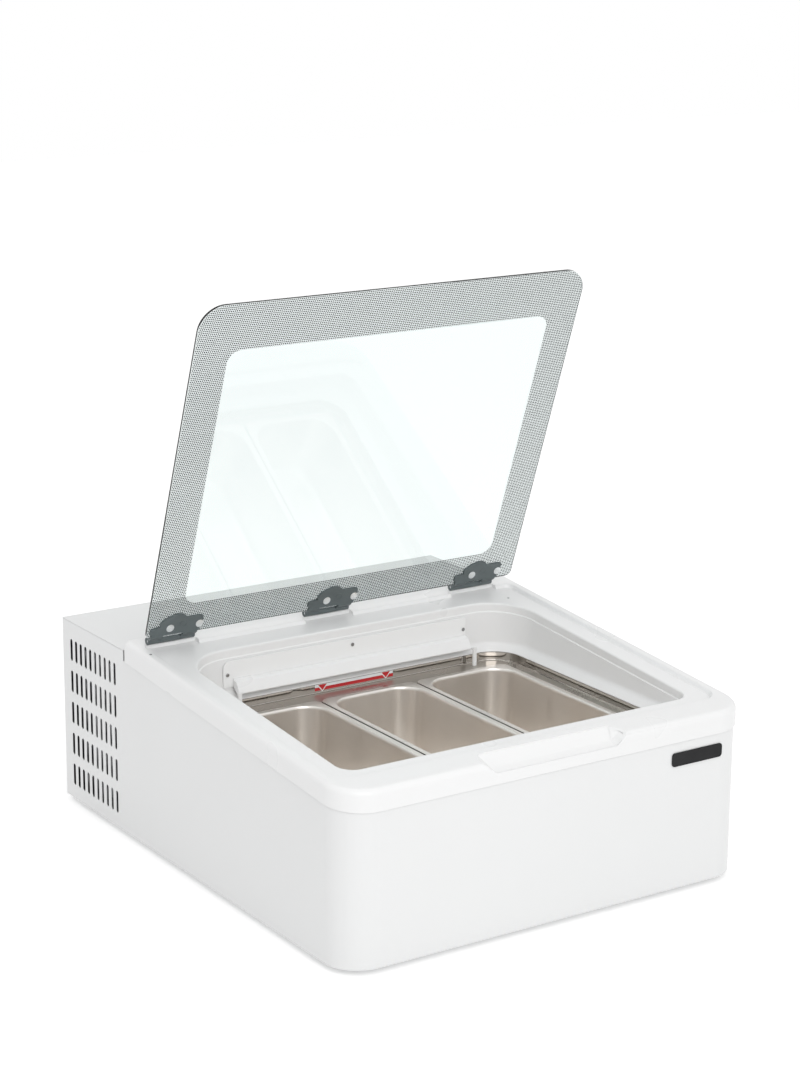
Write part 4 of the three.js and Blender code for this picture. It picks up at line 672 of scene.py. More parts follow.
def build_finishes(scene):
    colours = scene.cabinet_colours
    plate = tuple(min(channel * 1.14, 0.9) for channel in colours.paint)  # a lighter copy of the paint: painted light for the shaded throat
    return {
        "paint": white(
            "white_paint", colours.paint, 0.34, 0.012, 3, (6, 0.31, 0.37), 190, 0.02, coat_weight=0.15
        ),
        "plate": white("plate_paint", plate, 0.32, 0.012, 5, (8, 0.3, 0.36), 210, 0.015),
        "plastic": white("white_plastic", colours.plastic, 0.3, 0.01, 3, (8, 0.27, 0.33), 240, 0.012),
        "tank": tank_steel("tank_steel", colours.steel, 0.04, 0.08),
        "shelf": tank_steel("shelf_steel", colours.steel, 0.24, 0.34),
        "pan": pan_steel(colours.pan_steel),
        "glass": lid_glass(colours.glass),
        "dots": printed_dots(colours.dots, scene.cabinet_print, scene.cabinet_sizes.lid_open),
        "leaf": grained("leaf_plastic", colours.leaf, 0.42, 900, 0.04),
        "badge": grained("badge_enamel", (0.005, 0.005, 0.006), 0.45, 500, 0.01, specular_ior_level=0.3),
        "black": grained("black_plastic", (0.014, 0.014, 0.015), 0.42),
        "rubber": grained("rubber", (0.018, 0.018, 0.018), 0.75, 600, 0.06),
        "zinc": drawn_metal("zinc_plate", (0.95, 0.965, 0.97), 0.32, (1, 1, 0.2), (0.8, 0.83, 0.84)),
        "aluminium": drawn_metal("aluminium", (0.6, 0.61, 0.62), 0.4, (1, 1, 0.05), (0.42, 0.43, 0.44)),
        "copper": drawn_metal("copper", (0.72, 0.38, 0.24), 0.3, (0.2, 0.2, 1), (0.4, 0.2, 0.13)),
        "enamel": grained("black_enamel", (0.012, 0.013, 0.014), 0.3, 350, 0.05, coat_weight=0.3),
        "foam": grained("foam", (0.72, 0.62, 0.38), 0.9, 260, 0.4),
        "opal": grained("opal_lamp", (0.86, 0.86, 0.82), 0.35, 1200, 0.02),
        "galvanised": galvanised_sheet(),
        # near black: painted shade for the inner side of the body sheet
        "deadening": grained("deadening_coat", (0.03, 0.03, 0.032), 0.8, 300, 0.1),
        "label": grained("label_film", (0.8, 0.82, 0.83), 0.35, 500, 0.01),
        "label_red": grained("label_red", (0.55, 0.02, 0.025), 0.4, 500, 0.01),
        "label_white": grained("label_white", (0.85, 0.85, 0.84), 0.4, 500, 0.01),
        "dark_screw": drawn_metal("dark_screw", (0.5, 0.5, 0.51), 0.35, (1, 1, 1), (0.3, 0.3, 0.3)),
    }


FINISHES = {}


# ---------------------------------------------------------------- operators


class Maker:
    """An operator that makes one group of pieces from the scene's settings."""

    def execute(self, context):
        self.make(context.scene)
        return {"FINISHED"}


class MakeStage(Maker, bpy.types.Operator):
    """Sets up the camera, the pale floor, the soft lamps and the room light"""

    bl_idname = "cabinet.make_stage"
    bl_label = "Stage"

    # Fitted to the photograph's corners and edges; the turns are about z, then x, then z.
    camera_place = (-1.970331, -2.976697, 1.407217)
    camera_turns = ((-0.588068, "Z"), (1.307414, "X"), (0.007699, "Z"))
    focal_length, sensor_width = 85.1023, 36
    far_end = 50  # metres
    floor_size, floor_height = 16, -0.0003  # metres
    # Name, place, target and width, in metres.
    lamps = (
        ("front_lamp", (-0.9, -3.2, 2.3), (0, -0.1, 0.2), 2.6),
        ("top_lamp", (0.2, 0.1, 3.2), (0, 0, 0.2), 2.4),
    )
    floor_glow = 0.34  # lifts the floor to white where it is seen, and lights nothing

    def make(self, scene):
        settings = scene.cabinet_stage
        self.camera(scene)
        self.floor()
        for lamp, power in zip(self.lamps, (settings.front_power, settings.top_power)):
            self.lamp(*lamp, power)
        self.room(scene, settings.room)
        scene.view_settings.view_transform = "Standard"

    def camera(self, scene):
        bpy.ops.object.camera_add()
        camera = bpy.context.object
        camera.name = "photo_camera"
        place = Matrix.Translation(self.camera_place)
        for angle, axis in self.camera_turns:
            place = place @ Matrix.Rotation(angle, 4, axis)
        camera.matrix_world = place
        camera.data.lens = self.focal_length
        camera.data.sensor_width = self.sensor_width
        camera.data.clip_end = self.far_end
        scene.camera = camera

    def floor(self):
        bench = Bench("floor", Vector((0, 0, 0)))
        bpy.ops.mesh.primitive_plane_add(size=self.floor_size, location=(0, 0, self.floor_height))
        bpy.ops.mesh.subdivide(number_cuts=3)
        bench.close()
        made = Finish("floor", (0.86, 0.86, 0.86), 0.7)
        made.vary_roughness(made.noise(2), 0.65, 0.75)
        strength = made.maths("MULTIPLY", made.seen("Camera", "Glossy", "Transmission"), self.floor_glow)
        glow = made.node("Emission", {"Strength": strength})["Emission"]
        made.blend("AddShader", {0: made.shader.outputs["BSDF"], 1: glow})
        bench.object.data.materials.append(made.material)

    def lamp(self, name, place, target, size, power):
        bpy.ops.object.light_add(type="AREA", location=place)
        lamp = bpy.context.object
        lamp.name = name
        lamp.data.energy = power
        lamp.data.shape = "SQUARE"
        lamp.data.size = size
        lamp.rotation_euler = (Vector(place) - Vector(target)).to_track_quat("Z", "Y").to_euler()

    def room(self, scene, strength):
        """Even light from all round, seen as white by the camera and through glass."""
        scene.world = bpy.data.worlds.new("room")
        scene.world.use_nodes = True
        nodes = Nodes(scene.world.node_tree)
        light = nodes.tree.nodes["Background"]
        light.inputs["Color"].default_value = (1, 1, 1, 1)
        seen = nodes.seen("Camera", "Transmission")
        nodes.feed(light.inputs["Strength"], nodes.spread(seen, strength, 1.0))


class MakeFinishes(Maker, bpy.types.Operator):
    """Makes the materials that the pieces share"""

    bl_idname = "cabinet.make_finishes"
    bl_label = "Finishes"

    def make(self, scene):
        FINISHES.update(build_finishes(scene))


class MakeBodySheet(Maker, bpy.types.Operator):
    """Wraps the body sheet round both sides and the front, and cuts its slots"""

    bl_idname = "cabinet.make_body_sheet"
    bl_label = "Body Sheet"

    columns, rows = 10, 5
    column_pitch, row_pitch = 15.4, 49.5
    rear_margin, bottom = 29, 21.5  # of the slot nearest the rear, at the bottom
    half, depth = BODY_PLAN[0], BODY_PLAN[2]
    top = 279.9
    flange = 13
    skirt_lap = -21  # the sheet's top edge, from the rim
    notch = (588, 600.3, -31.5)  # clear of the frame's rear corners

    def make(self, scene):
        sizes = scene.cabinet_sizes
        bench = Bench("body_sheet")
        self.walls(bench)
        self.trim_top(bench)
        bench.close()
        bench.modify("SOLIDIFY", thickness=sizes.sheet, offset=-1, use_even_offset=True)
        bench.cut(self.slots(sizes.slot_width / MM, sizes.slot_height / MM))
        bench.soften(0.2, angle=50)
        bench.hand_over("cabinet", "white_paint", "paint", "outer_shell", 50)
        self.shade_inside(bench)

    def shade_inside(self, bench):
        """Gives the inner side of the sheet a near-black finish: painted shade for the dark inside of the
        cabinet.
        """
        middle = bench.at(0, self.depth / 2, 0)

        def inner(face):
            towards = middle - face.calc_center_median()
            towards.z = 0
            towards.y *= self.half * 2 / self.depth
            return face.normal.dot(towards.normalized()) > 0.6

        bench.second_finish("deadening", inner)

    def walls(self, bench):
        """The folded sheet, with a flange turned in along its bottom edge and no rear side."""
        bench.loft(stack(BODY_PLAN, level, (0, 0), (0, self.top)), ends="open", steps=14)
        bench.tidy()
        bench.pick_box("edges", z=0)
        bpy.ops.mesh.extrude_edges_move()
        inner = self.half - self.flange
        inward = (inner / self.half, 1 - 2 * self.flange / self.depth, 1)
        bpy.ops.transform.resize(value=inward, center_override=bench.at(0, self.depth / 2, 0))
        self.slice(bench, (0, 0, self.flange), (0, 0, 1))
        for side in (-1, 1):
            self.slice(bench, (side * inner, 0, 0), (1, 0, 0))
        bench.pick_box("faces", x=(-inner, inner), y=self.depth, z=(self.flange, self.top))
        bpy.ops.mesh.delete(type="FACE")

    def slice(self, bench, point, normal, span=None):
        """Cuts the faces along a plane, all of them or those in a span of y."""
        select_all()
        if span:
            bench.pick_box("faces", y=span)
        bpy.ops.mesh.bisect(plane_co=bench.at(*point), plane_no=normal)

    def trim_top(self, bench):
        """Takes away what the frame's skirt stands for, and a notch at its rear corners."""
        front_edge, rear_edge, drop = self.notch
        for edge in (front_edge, rear_edge):
            self.slice(bench, (0, edge, 0), (0, 1, 0))
        lapped = above_rim(self.skirt_lap)
        notch_floor = above_rim(drop)(front_edge)
        slope = Vector((0, -RIM_SLOPE, 1)).normalized()
        self.slice(bench, (0, 0, lapped(0)), slope, (-10, front_edge))
        self.slice(bench, (0, 0, notch_floor), (0, 0, 1), (front_edge, rear_edge))

        def spare(face):
            middle = (face.calc_center_median() - bench.datum) / MM
            if middle.y > rear_edge:
                return False
            return middle.z > (lapped(middle.y) if middle.y < front_edge else notch_floor)

        bench.pick("faces", spare)
        bpy.ops.mesh.delete(type="FACE")

    def slots(self, width, height):
        """Bars through both sides, one for each pair of slots."""
        rear = self.depth - self.rear_margin + width / 2
        span = (rear - width, rear), (self.bottom, self.bottom + height)
        bench = block("slot_cutter", (-self.half - 10, self.half + 10), *span)
        bench.open()

        def long_edge(edge):
            first, last = edge.verts
            return abs(first.co.x - last.co.x) > 0.1

        bench.pick("edges", long_edge)
        round_edges(width / 2 - 0.02, 3)
        bench.close()
        steps = ((self.columns, (0, -self.column_pitch, 0)), (self.rows, (0, 0, self.row_pitch)))
        for count, step in steps:
            bench.modify(
                "ARRAY",
                count=count,
                use_relative_offset=False,
                use_constant_offset=True,
                constant_offset_displace=[distance * MM for distance in step],
            )
        return bench


class MakeTopFrame(Maker, bpy.types.Operator):
    """Lofts the white top frame, and cuts its finger scoop and hinge notches"""

    bl_idname = "cabinet.make_top_frame"
    bl_label = "Top Frame"

    skirt = -31  # this and the next two are heights from the rim
    ledge = -5.8
    bead = -19
    throat_foot, tank_lip = 224, 209.5
    notch_span, notch_front, notch_rear = (-60, 24), 540, 563  # the span in x, from a hinge's centre
    wall_front = 553.5
    # Upright sections, each at a y, from low to high over the rim, with its half widths there.
    scoop_wall = ((35, -7, -1.6, 122.5, 122.5), (0.3, -19.5, -4.6, 122.5, 122.5))
    scoop_room = ((32, -1.5, 5, 108, 112), (14, -13.5, 5, 100, 126), (-10, -16.5, 5, 100, 126))

    def make(self, scene):
        bench = Bench("top_frame_moulding")
        bench.loft(self.sections(scene.cabinet_sizes.rim_radius / MM), ends="joined")
        bench.seal()
        bench.join(self.stations("scoop_wall", self.scoop_wall))
        bench.cut(self.stations("scoop_cutter", self.scoop_room))
        for centre in HINGE_CENTRES:
            bench.join(self.notch(centre, 3, -1))
            bench.cut(self.notch(centre, 0, 5))
        bench.open()
        bench.tidy()
        self.round_scoop(bench)
        bench.seal()
        bench.soften(0.4, angle=48)
        bench.open()
        select_all()
        bpy.ops.mesh.delete_loose()
        bench.close()
        bench.hand_over("cabinet", "white_plastic", "plastic", "top_frame")

    def sections(self, radius):
        """Skirt, rounded rim, ledge, bead, throat wall, flange and the hidden inner face."""
        skirt, ledge, bead = self.skirt, self.ledge, self.bead
        foot, lip = self.throat_foot, self.tank_lip
        rim = [(d, up - radius) for d, up in quarter_round(radius, 6)]
        throat = inset(MOUTH_PLAN, 3.5)
        return [
            *stack(FRAME_PLAN, above_rim, (0.5, skirt), (0, skirt + 0.5), *rim),
            *stack(LEDGE_PLAN, above_rim, (-3.4, 0), (-2.2, -0.3), (-1.3, -1.2)),
            *stack(LEDGE_PLAN, above_rim, (0.5, ledge + 1.2), (1.2, ledge + 0.3), (2.4, ledge)),
            *stack(MOUTH_PLAN, above_rim, (-3.4, ledge), (-1.6, ledge - 0.4), (-0.5, ledge - 1.4)),
            *stack(MOUTH_PLAN, above_rim, (0, ledge - 3), (0, bead + 0.8), (0.3, bead), (1.5, bead - 1)),
            *stack(throat, level, (0, foot), (0.9, foot - 3), (2.6, foot - 5.4), (5, foot - 7)),
            *stack(TANK_PLAN, level, (-2.4, lip + 2.7), (-0.6, lip + 1.8), (0, lip + 0.8)),
            *stack(TANK_PLAN, level, (0, lip), (-8, lip)),
            *stack(MOUTH_PLAN, level, (-3, foot - 8)),
            *stack(MOUTH_PLAN, above_rim, (-3, ledge - 3)),
            *stack(LEDGE_PLAN, above_rim, (-3, ledge - 3), (-4.5, -3)),
            *stack(FRAME_PLAN, above_rim, (radius, -3), (2.2, -radius), (2.2, skirt)),
        ]

    def stations(self, name, stations):
        """A block through upright sections."""
        bench = Bench(name)
        loops = []
        for y, low, high, low_half, high_half in stations:
            rim = above_rim(0)(y)
            corners = ((-low_half, low), (low_half, low), (high_half, high), (-high_half, high))
            loops.append(bench.profile([(x, y, rim + z) for x, z in corners]))
        layer = bench.layer()
        bench.pick("faces", lambda f: f.verts[0][layer] in loops[1:-1])
        bpy.ops.mesh.delete(type="ONLY_FACE")
        for pair in zip(loops, loops[1:]):
            bench.bridge(pair)
        return bench.seal()

    def notch(self, centre, wall, top):
        """The room for a hinge's barrel, or with a wall all round it the block it is cut from."""
        low, high = centre + self.notch_span[0] - wall, centre + self.notch_span[1] + wall
        front = self.wall_front if wall else self.notch_front
        rear = self.notch_rear + wall
        floor, cover = above_rim(0.2 + self.ledge - 0.9 * wall), above_rim(top)
        outline = [(front, floor(front)), (rear, floor(rear)), (rear, cover(rear)), (front, cover(front))]
        return prism("notch_room", X, low, high - low, outline)

    def round_scoop(self, bench):
        """Rounds the scoop's edges that are sharper than about 30 degrees."""
        bench.pick_box("edges", x=(-130, 130), y=(-10, 30), z=(225, 262))
        for edge in bench.mesh().edges:
            if edge.select and edge.calc_face_angle(0) < math.radians(30):
                edge.select = False
        bmesh.update_edit_mesh(bench.object.data)
        round_edges(1.6, 3, clamp=True)


class MakePans(Maker, bpy.types.Operator):
    """Draws one pan and sets a copy of it in each of the other two places"""

    bl_idname = "cabinet.make_pans"
    bl_label = "Pans"

    pitch = 168
    rim_plan = (82.5, 110, 470, 14, 14)
    mouth_radius = 38
    rim_height, depth = 197, 120
    taper, bottom_radius = 7, 14

    def make(self, scene):
        sizes = scene.cabinet_sizes
        first = Bench("pan_shell_left")
        first.loft(self.sections(sizes.pan_rim / MM, sizes.pan_sheet / MM), x=-self.pitch, steps=12)
        pans = [first.seal()]
        for place, side in enumerate(PAN_SIDES[1:], 1):
            bench = Bench("pan_shell_" + side, mesh=first.object.data.copy())
            select_all()
            bpy.ops.transform.translate(value=(place * self.pitch * MM, 0, 0))
            bench.close()
            pans.append(bench)
        for bench, side in zip(pans, PAN_SIDES):
            bench.hand_over("pan_" + side, "stainless", "pan", "pan_" + side, 30)

    def sections(self, rim_width, sheet):
        """Up the outer side, over the rim and down the inner side."""
        half, front, rear, *_ = inset(self.rim_plan, rim_width)
        mouth = (half, front, rear, self.mouth_radius, self.mouth_radius)
        low = inset(mouth, self.taper)
        top, rim = self.rim_height, self.rim_plan
        base = top - self.depth + self.bottom_radius
        steps = quarter_round(self.bottom_radius, 6)
        return [
            *stack(low, level, *((d, base - up) for d, up in reversed(steps))),
            *stack(mouth, level, (-1.2, top - 3), (-2.2, top - sheet)),
            *stack(rim, level, (0.3, top - sheet), (0, top - sheet + 0.3)),
            *stack(rim, level, (0, top - 0.5), (0.15, top - 0.15), (0.5, top)),
            *stack(mouth, level, (-1.8, top), (-0.7, top - 0.3), (0.2, top - 1.2), (0.7, top - 2.6)),
            *stack(mouth, level, (sheet, top - 5)),
            *stack(inset(low, sheet), level, *((d, base + sheet - up) for d, up in steps)),
        ]


class MakeTank(Maker, bpy.types.Operator):
    """Presses the polished tank with its well, its shelf and its lip"""

    bl_idname = "cabinet.make_tank"
    bl_label = "Tank"

    shelf, lip, floor = 195.5, 209.2, 60
    sheet, lip_width, bottom_radius = 1.0, 8, 12

    def make(self, scene):
        bench = Bench("tank_pressing")
        bench.loft(self.sections(), steps=12)
        bench.seal()
        bench.hand_over("cabinet", "stainless", "tank", "tank_liner", 30)
        shelf = bench.at(0, 0, self.shelf).z
        bench.second_finish("shelf", lambda f: abs(f.calc_center_median().z - shelf) < 0.3 * MM)

    def sections(self):
        """Up the outer side, over the lip, and down past the shelf into the well."""
        shelf, lip, sheet = self.shelf, self.lip, self.sheet
        steps = quarter_round(self.bottom_radius, 5)
        base = self.floor + self.bottom_radius
        outer_well = inset(WELL_PLAN, -sheet)
        return [
            *stack(outer_well, level, *((d, base - sheet - up) for d, up in reversed(steps))),
            *stack(outer_well, level, (0, shelf - sheet)),
            *stack(TANK_PLAN, level, (-sheet, shelf - sheet), (-sheet, lip - sheet)),
            *stack(TANK_PLAN, level, (-self.lip_width, lip - sheet), (-self.lip_width, lip)),
            *stack(TANK_PLAN, level, (-1.2, lip), (-0.3, lip - 0.4), (0, lip - 1.2)),
            *stack(TANK_PLAN, level, (0, shelf + 2.5), (0.7, shelf + 0.7), (2.5, shelf)),
            *stack(WELL_PLAN, level, (-1.5, shelf), (-0.4, shelf - 0.4), (0, shelf - 1.5)),
            *stack(WELL_PLAN, level, *((d, base - up) for d, up in steps)),
        ]


class MakeThroatFittings(Maker, bpy.types.Operator):
    """Makes the rear cover plate, the light bar with its legs, and the load label in the tank"""

    bl_idname = "cabinet.make_throat_fittings"
    bl_label = "Throat Fittings"

    plate = (-220.5, 205.5, 228, 267)  # left, right, low, high
    plate_corners = ((-220.5, 10), (205.5, 3))
    plate_back, plate_thick = 510.2, 1.5
    bar_half, bar_sheet = 204.5, 1.5
    bar_line = ((507.65, 240.5), (507.65, 238), (499.5, 236), (490.6, 221.5), (496, 219.5))
    bar_bends = (1.1, 0.6, 1.6)
    bar_end = (*bar_line[1:], (507.3, 228))
    end_thick = 1.7
    leg_out, leg_half, tongue_in = 2.5, 3, 0.8
    leg_limits = (484.15, 487.15), (195.8, 225)  # in y and z, as are the tongue's
    tongue_limits = (484.65, 493.15), (220.6, 223.4)
    label_span = (-71, 67)
    label_strips = (("band", "label", 204.4, 208.8), ("line", "label_red", 199.4, 204.3))
    label_gap, strip_thick = 0.05, 0.15
    mark_places = (("left", -58), ("right", 54))
    # Each triangle's name, finish, half width, point, base and thickness, from the wall outwards.
    mark_films = (
        ("load_mark_edge_", "label_white", 10, 197.6, 208.9, 0.12),
        ("load_mark_", "label_red", 7.5, 199.6, 208.4, 0.1),
    )

    def make(self, scene):
        self.cover_plate()
        self.light_bar()
        self.load_label()

    def cover_plate(self):
        bench = Bench("rear_cover")
        bench.profile([(x, self.plate_back, z) for x, z in rectangle(*self.plate)])
        for x, radius in self.plate_corners:
            bench.pick_box("verts", x=x, z=self.plate[3])
            round_corners(radius)
        bench.pick("faces")
        bench.extrude(y=-self.plate_thick)
        bench.seal()
        bench.soften(0.4, angle=35)
        # The plate's paint is a lighter copy of the white paint: painted light for the throat's shade.
        bench.hand_over("cabinet", "white_paint", "plate", "rear_cover_plate", 35)

    def light_bar(self):
        half, line = self.bar_half, self.bar_line
        bench = Bench("light_bar_cover")
        bench.profile([(-half, *line[0]), (half, *line[0]), (half, *line[1]), (-half, *line[1])])
        for (y, z), (next_y, next_z) in zip(line[1:], line[2:]):
            bench.pick_box("edges", x=(-half, half), y=y, z=z)
            bench.extrude(y=next_y - y, z=next_z - z)
        for (y, z), radius in zip(line[1:-1], self.bar_bends):
            bench.pick_box("edges", y=y, z=z)
            round_edges(radius, 4)
        bench.seal()
        bench.modify("SOLIDIFY", thickness=self.bar_sheet * MM, offset=0, use_even_offset=True)
        for side in (-1, 1):
            # The end reaches a little past the cover, so that no faces share a plane.
            start, depth = side * (half - self.bar_sheet), side * self.end_thick
            bench.join(prism("bar_end", X, start, depth, self.bar_end))
            bench.join(self.leg(side))
        bench.soften(0.3)
        bench.hand_over("cabinet", "white_plastic", "plastic", "light_bar")

    def leg(self, side):
        """A leg that stands on the tank's shelf, with a tongue that joins it to the cover."""
        x = side * (self.bar_half + self.leg_out)
        tongue_end = side * (self.bar_half - self.tongue_in)
        leg = block("leg", (x - self.leg_half, x + self.leg_half), *self.leg_limits)
        leg.join(block("tongue", sorted((tongue_end, x)), *self.tongue_limits))
        return leg

    def load_label(self):
        """A thin label with a pale band over a red line, and two red triangles edged in white."""
        wall = TANK_PLAN[2] - self.label_gap
        for name, finish, *heights in self.label_strips:
            outline = rectangle(*self.label_span, *heights)
            self.film("load_label_" + name, finish, outline, wall, self.strip_thick)
        for name, x in self.mark_places:
            y = wall - self.strip_thick
            for part, finish, half, low, high, thick in self.mark_films:
                outline = [(x - half, high), (x, low), (x + half, high)]
                self.film(part + name, finish, outline, y, thick)
                y -= thick

    def film(self, name, finish, outline, y, thick):
        prism(name, Y, y, -thick, outline).hand_over("cabinet", "white_plastic", finish, smooth=35)


class MakeLid(Maker, bpy.types.Operator):
    """Makes the glass lid and the dots printed round its clear window"""

    bl_idname = "cabinet.make_lid"
    bl_label = "Glass Lid"

    plan = (322, -544.8, -7.8, 38, 10)
    under, top = -6, -2
    edge_radius, hole_radius = 0.8, 3
    window = (269.25, -472.7, -59.3, 20, 20)
    window_x = 1.25
    film_top, film_low = -6.04, -6.12

    def make(self, scene):
        angle = scene.cabinet_sizes.lid_open
        self.pane(angle)
        self.print_layer(angle)

    def pane(self, angle):
        radius = self.edge_radius
        edge = quarter_round(radius, 3)
        steps = [(d, self.under + radius - up) for d, up in reversed(edge)]
        steps += [(d, self.top - radius + up) for d, up in edge]
        bench = Bench("lid_pane", HINGE_AXIS)
        bench.loft(stack(self.plan, level, *steps), steps=14)
        bench.seal()
        bench.cut(hole_cutter(HINGE_CENTRES, self.hole_radius, -10, 2))
        bench.swing(angle)
        bench.hand_over("lid", "glass", "glass", "lid_glass", 12)

    def print_layer(self, angle):
        """A thin film under the glass, open at the window."""
        bench = Bench("lid_print", HINGE_AXIS)
        outer = inset(self.plan, 0.9)
        rings = (
            (outer, self.film_top, 0),
            (self.window, self.film_top, self.window_x),
            (self.window, self.film_low, self.window_x),
            (outer, self.film_low, 0),
        )
        bench.bridge_all([bench.outline(plan, level(z), x) for plan, z, x in rings], closed=True)
        bench.seal()
        bench.swing(angle)
        bench.hand_over("lid", "glass", "dots", smooth=35)


def hole_cutter(centres, radius, low, high):
    """Rods that cut the screw holes of some hinges."""
    bench = Bench("hole_cutter", HINGE_AXIS)
    for x, y in screw_places(*centres):
        bench.rod(radius, (x, y, low), (x, y, high), 16)
    bench.close()
    return bench


class MakeHinges(Maker, bpy.types.Operator):
    """Makes the three hinges: leaf, base, pin and two screws each"""

    bl_idname = "cabinet.make_hinges"
    bl_label = "Hinges"

    barrel, bore, pin_radius, hole_radius = 5.5, 2.7, 2.4, 2.6
    leaf_top, leaf_under = -6.3, -9.7
    near = -11.5  # the leaf's edge along the barrel
    knuckles = ((-56, -36.4), (-3.6, 20))
    base_knuckle = (-36, -4)
    bore_span, pin_span = (-60, 24), (-55, 19)
    # The leaf's outline from a hinge's centre, with y from the edge along the barrel.
    leaf_outline = (
        *((-54, -1), (22, 0), (24, -8), (25.6, -15), (27, -22), (25.6, -25.6), (20, -27), (0, -27)),
        *((-3.6, -30.6), (-8, -33.2), (-14, -34), (-20, -34), (-28, -32.2), (-38, -27)),
        *((-43, -22), (-43, -16), (-54, -15), (-58, -13), (-58, -6)),
    )
    ring_place, ring_radius, ring_width = (-5.8, -28), 5.4, 0.9
    base_rise, base_thick = -6.2, 3
    head_radius, head_thick, cap_inset, cap_thick = 6.2, 0.7, 1.9, 0.85
    shank_inset, shank_growth, top_cap_thick = 4.2, 2.5, 1.5
    screw_gap = 0.15  # between a screw's heads and the leaf or the glass

    def make(self, scene):
        angle = scene.cabinet_sizes.lid_open
        for side, centre in zip(PAN_SIDES, HINGE_CENTRES):
            self.leaf(side, centre, angle)
            self.base(side, centre)
            self.pin(side, centre)
            for number, (x, y) in enumerate(screw_places(centre), 1):
                self.screw(f"{side}_{number}", x, y, angle)

    def leaf(self, side, centre, angle):
        outline = [(centre + x, self.near + y) for x, y in self.leaf_outline]
        thick = self.leaf_top - self.leaf_under
        bench = prism("leaf_" + side, Z, self.leaf_under, thick, outline, HINGE_AXIS)
        for low, high in self.knuckles:
            bench.join(self.arm(centre + low, high - low))
        for span in self.knuckles:
            bench.join(self.cylinder(self.barrel, centre, span))
        bench.join(self.ring(centre))
        bench.cut(self.cylinder(self.bore, centre, self.bore_span))
        bench.cut(hole_cutter([centre], self.hole_radius, -14, 0))
        bench.soften(0.5)
        bench.swing(angle)
        bench.hand_over("lid", "grey_plastic", "leaf", "hinge_leaf_" + side)

    def arm(self, start, width):
        """The part of the leaf that rises to a knuckle."""
        near, under, top = self.near, self.leaf_under, self.leaf_top
        outline = [
            (near - 2, under),
            (near + 2, under),
            (-3, 0.5 - self.barrel),
            (0, 0),
            (-3, self.barrel - 1),
            (-7.5, -2),
            (-7.5, top),
            (near - 2, top),
        ]
        return prism("arm", X, start, width, outline, HINGE_AXIS)

    def cylinder(self, radius, centre, span, name="barrel"):
        bench = Bench(name, HINGE_AXIS)
        low, high = span
        bench.rod(radius, (centre + low, 0, 0), (centre + high, 0, 0), 28)
        bench.close()
        return bench

    def ring(self, centre):
        """The faint raised ring on the leaf's face."""
        x, y = self.ring_place
        low = self.leaf_under - 0.35
        bench = Bench("ring", HINGE_AXIS)
        bench.rod(self.ring_radius, (centre + x, y, low), (centre + x, y, self.leaf_under + 1), 28)
        bench.inset_face(low, self.ring_width, 0.3)
        return bench.seal()

    def base(self, side, centre):
        low, high = self.base_knuckle
        under = [RIM_SLOPE * y + self.base_rise for y in (2, 18, self.barrel)]
        outline = [
            (2, under[0]),
            (18, under[1]),
            (18, under[1] + self.base_thick),
            (self.barrel + 2, under[2] + self.base_thick),
            (self.barrel - 1, 1),
            (0, 0),
        ]
        bench = prism("base_" + side, X, centre + low, high - low, outline, HINGE_AXIS)
        bench.join(self.cylinder(self.barrel, centre, self.base_knuckle))
        bench.cut(self.cylinder(self.bore, centre, self.bore_span))
        bench.soften(0.5)
        bench.hand_over("cabinet", "grey_plastic", "leaf", "hinge_base_" + side)

    def pin(self, side, centre):
        bench = self.cylinder(self.pin_radius, centre, self.pin_span, "pin_" + side)
        bench.soften(0.5, 3)
        bench.hand_over("cabinet", "zinc_steel", "zinc", "hinge_pin_" + side)

    def screw(self, name, x, y, angle):
        """A disc head under the leaf with a smaller cap on it, a shank, and a cap on the glass."""
        under, top = self.leaf_under - self.screw_gap, MakeLid.top + self.screw_gap
        low = under - self.head_thick
        bench = Bench("screw_" + name, HINGE_AXIS)
        bench.rod(self.head_radius, (x, y, low), (x, y, under), 28)
        bench.inset_face(low, self.cap_inset, -self.cap_thick)
        bench.inset_face(under, self.shank_inset, top - under)
        bench.extrude(z=0.01)
        growth = (self.shank_growth, self.shank_growth, 1)
        bpy.ops.transform.resize(value=growth, center_override=bench.at(x, y, top))
        bench.extrude(z=self.top_cap_thick)
        bench.seal()
        bench.soften(0.35)
        bench.swing(angle)
        bench.hand_over("lid", "zinc_steel", "zinc", "hinge_screw_" + name)


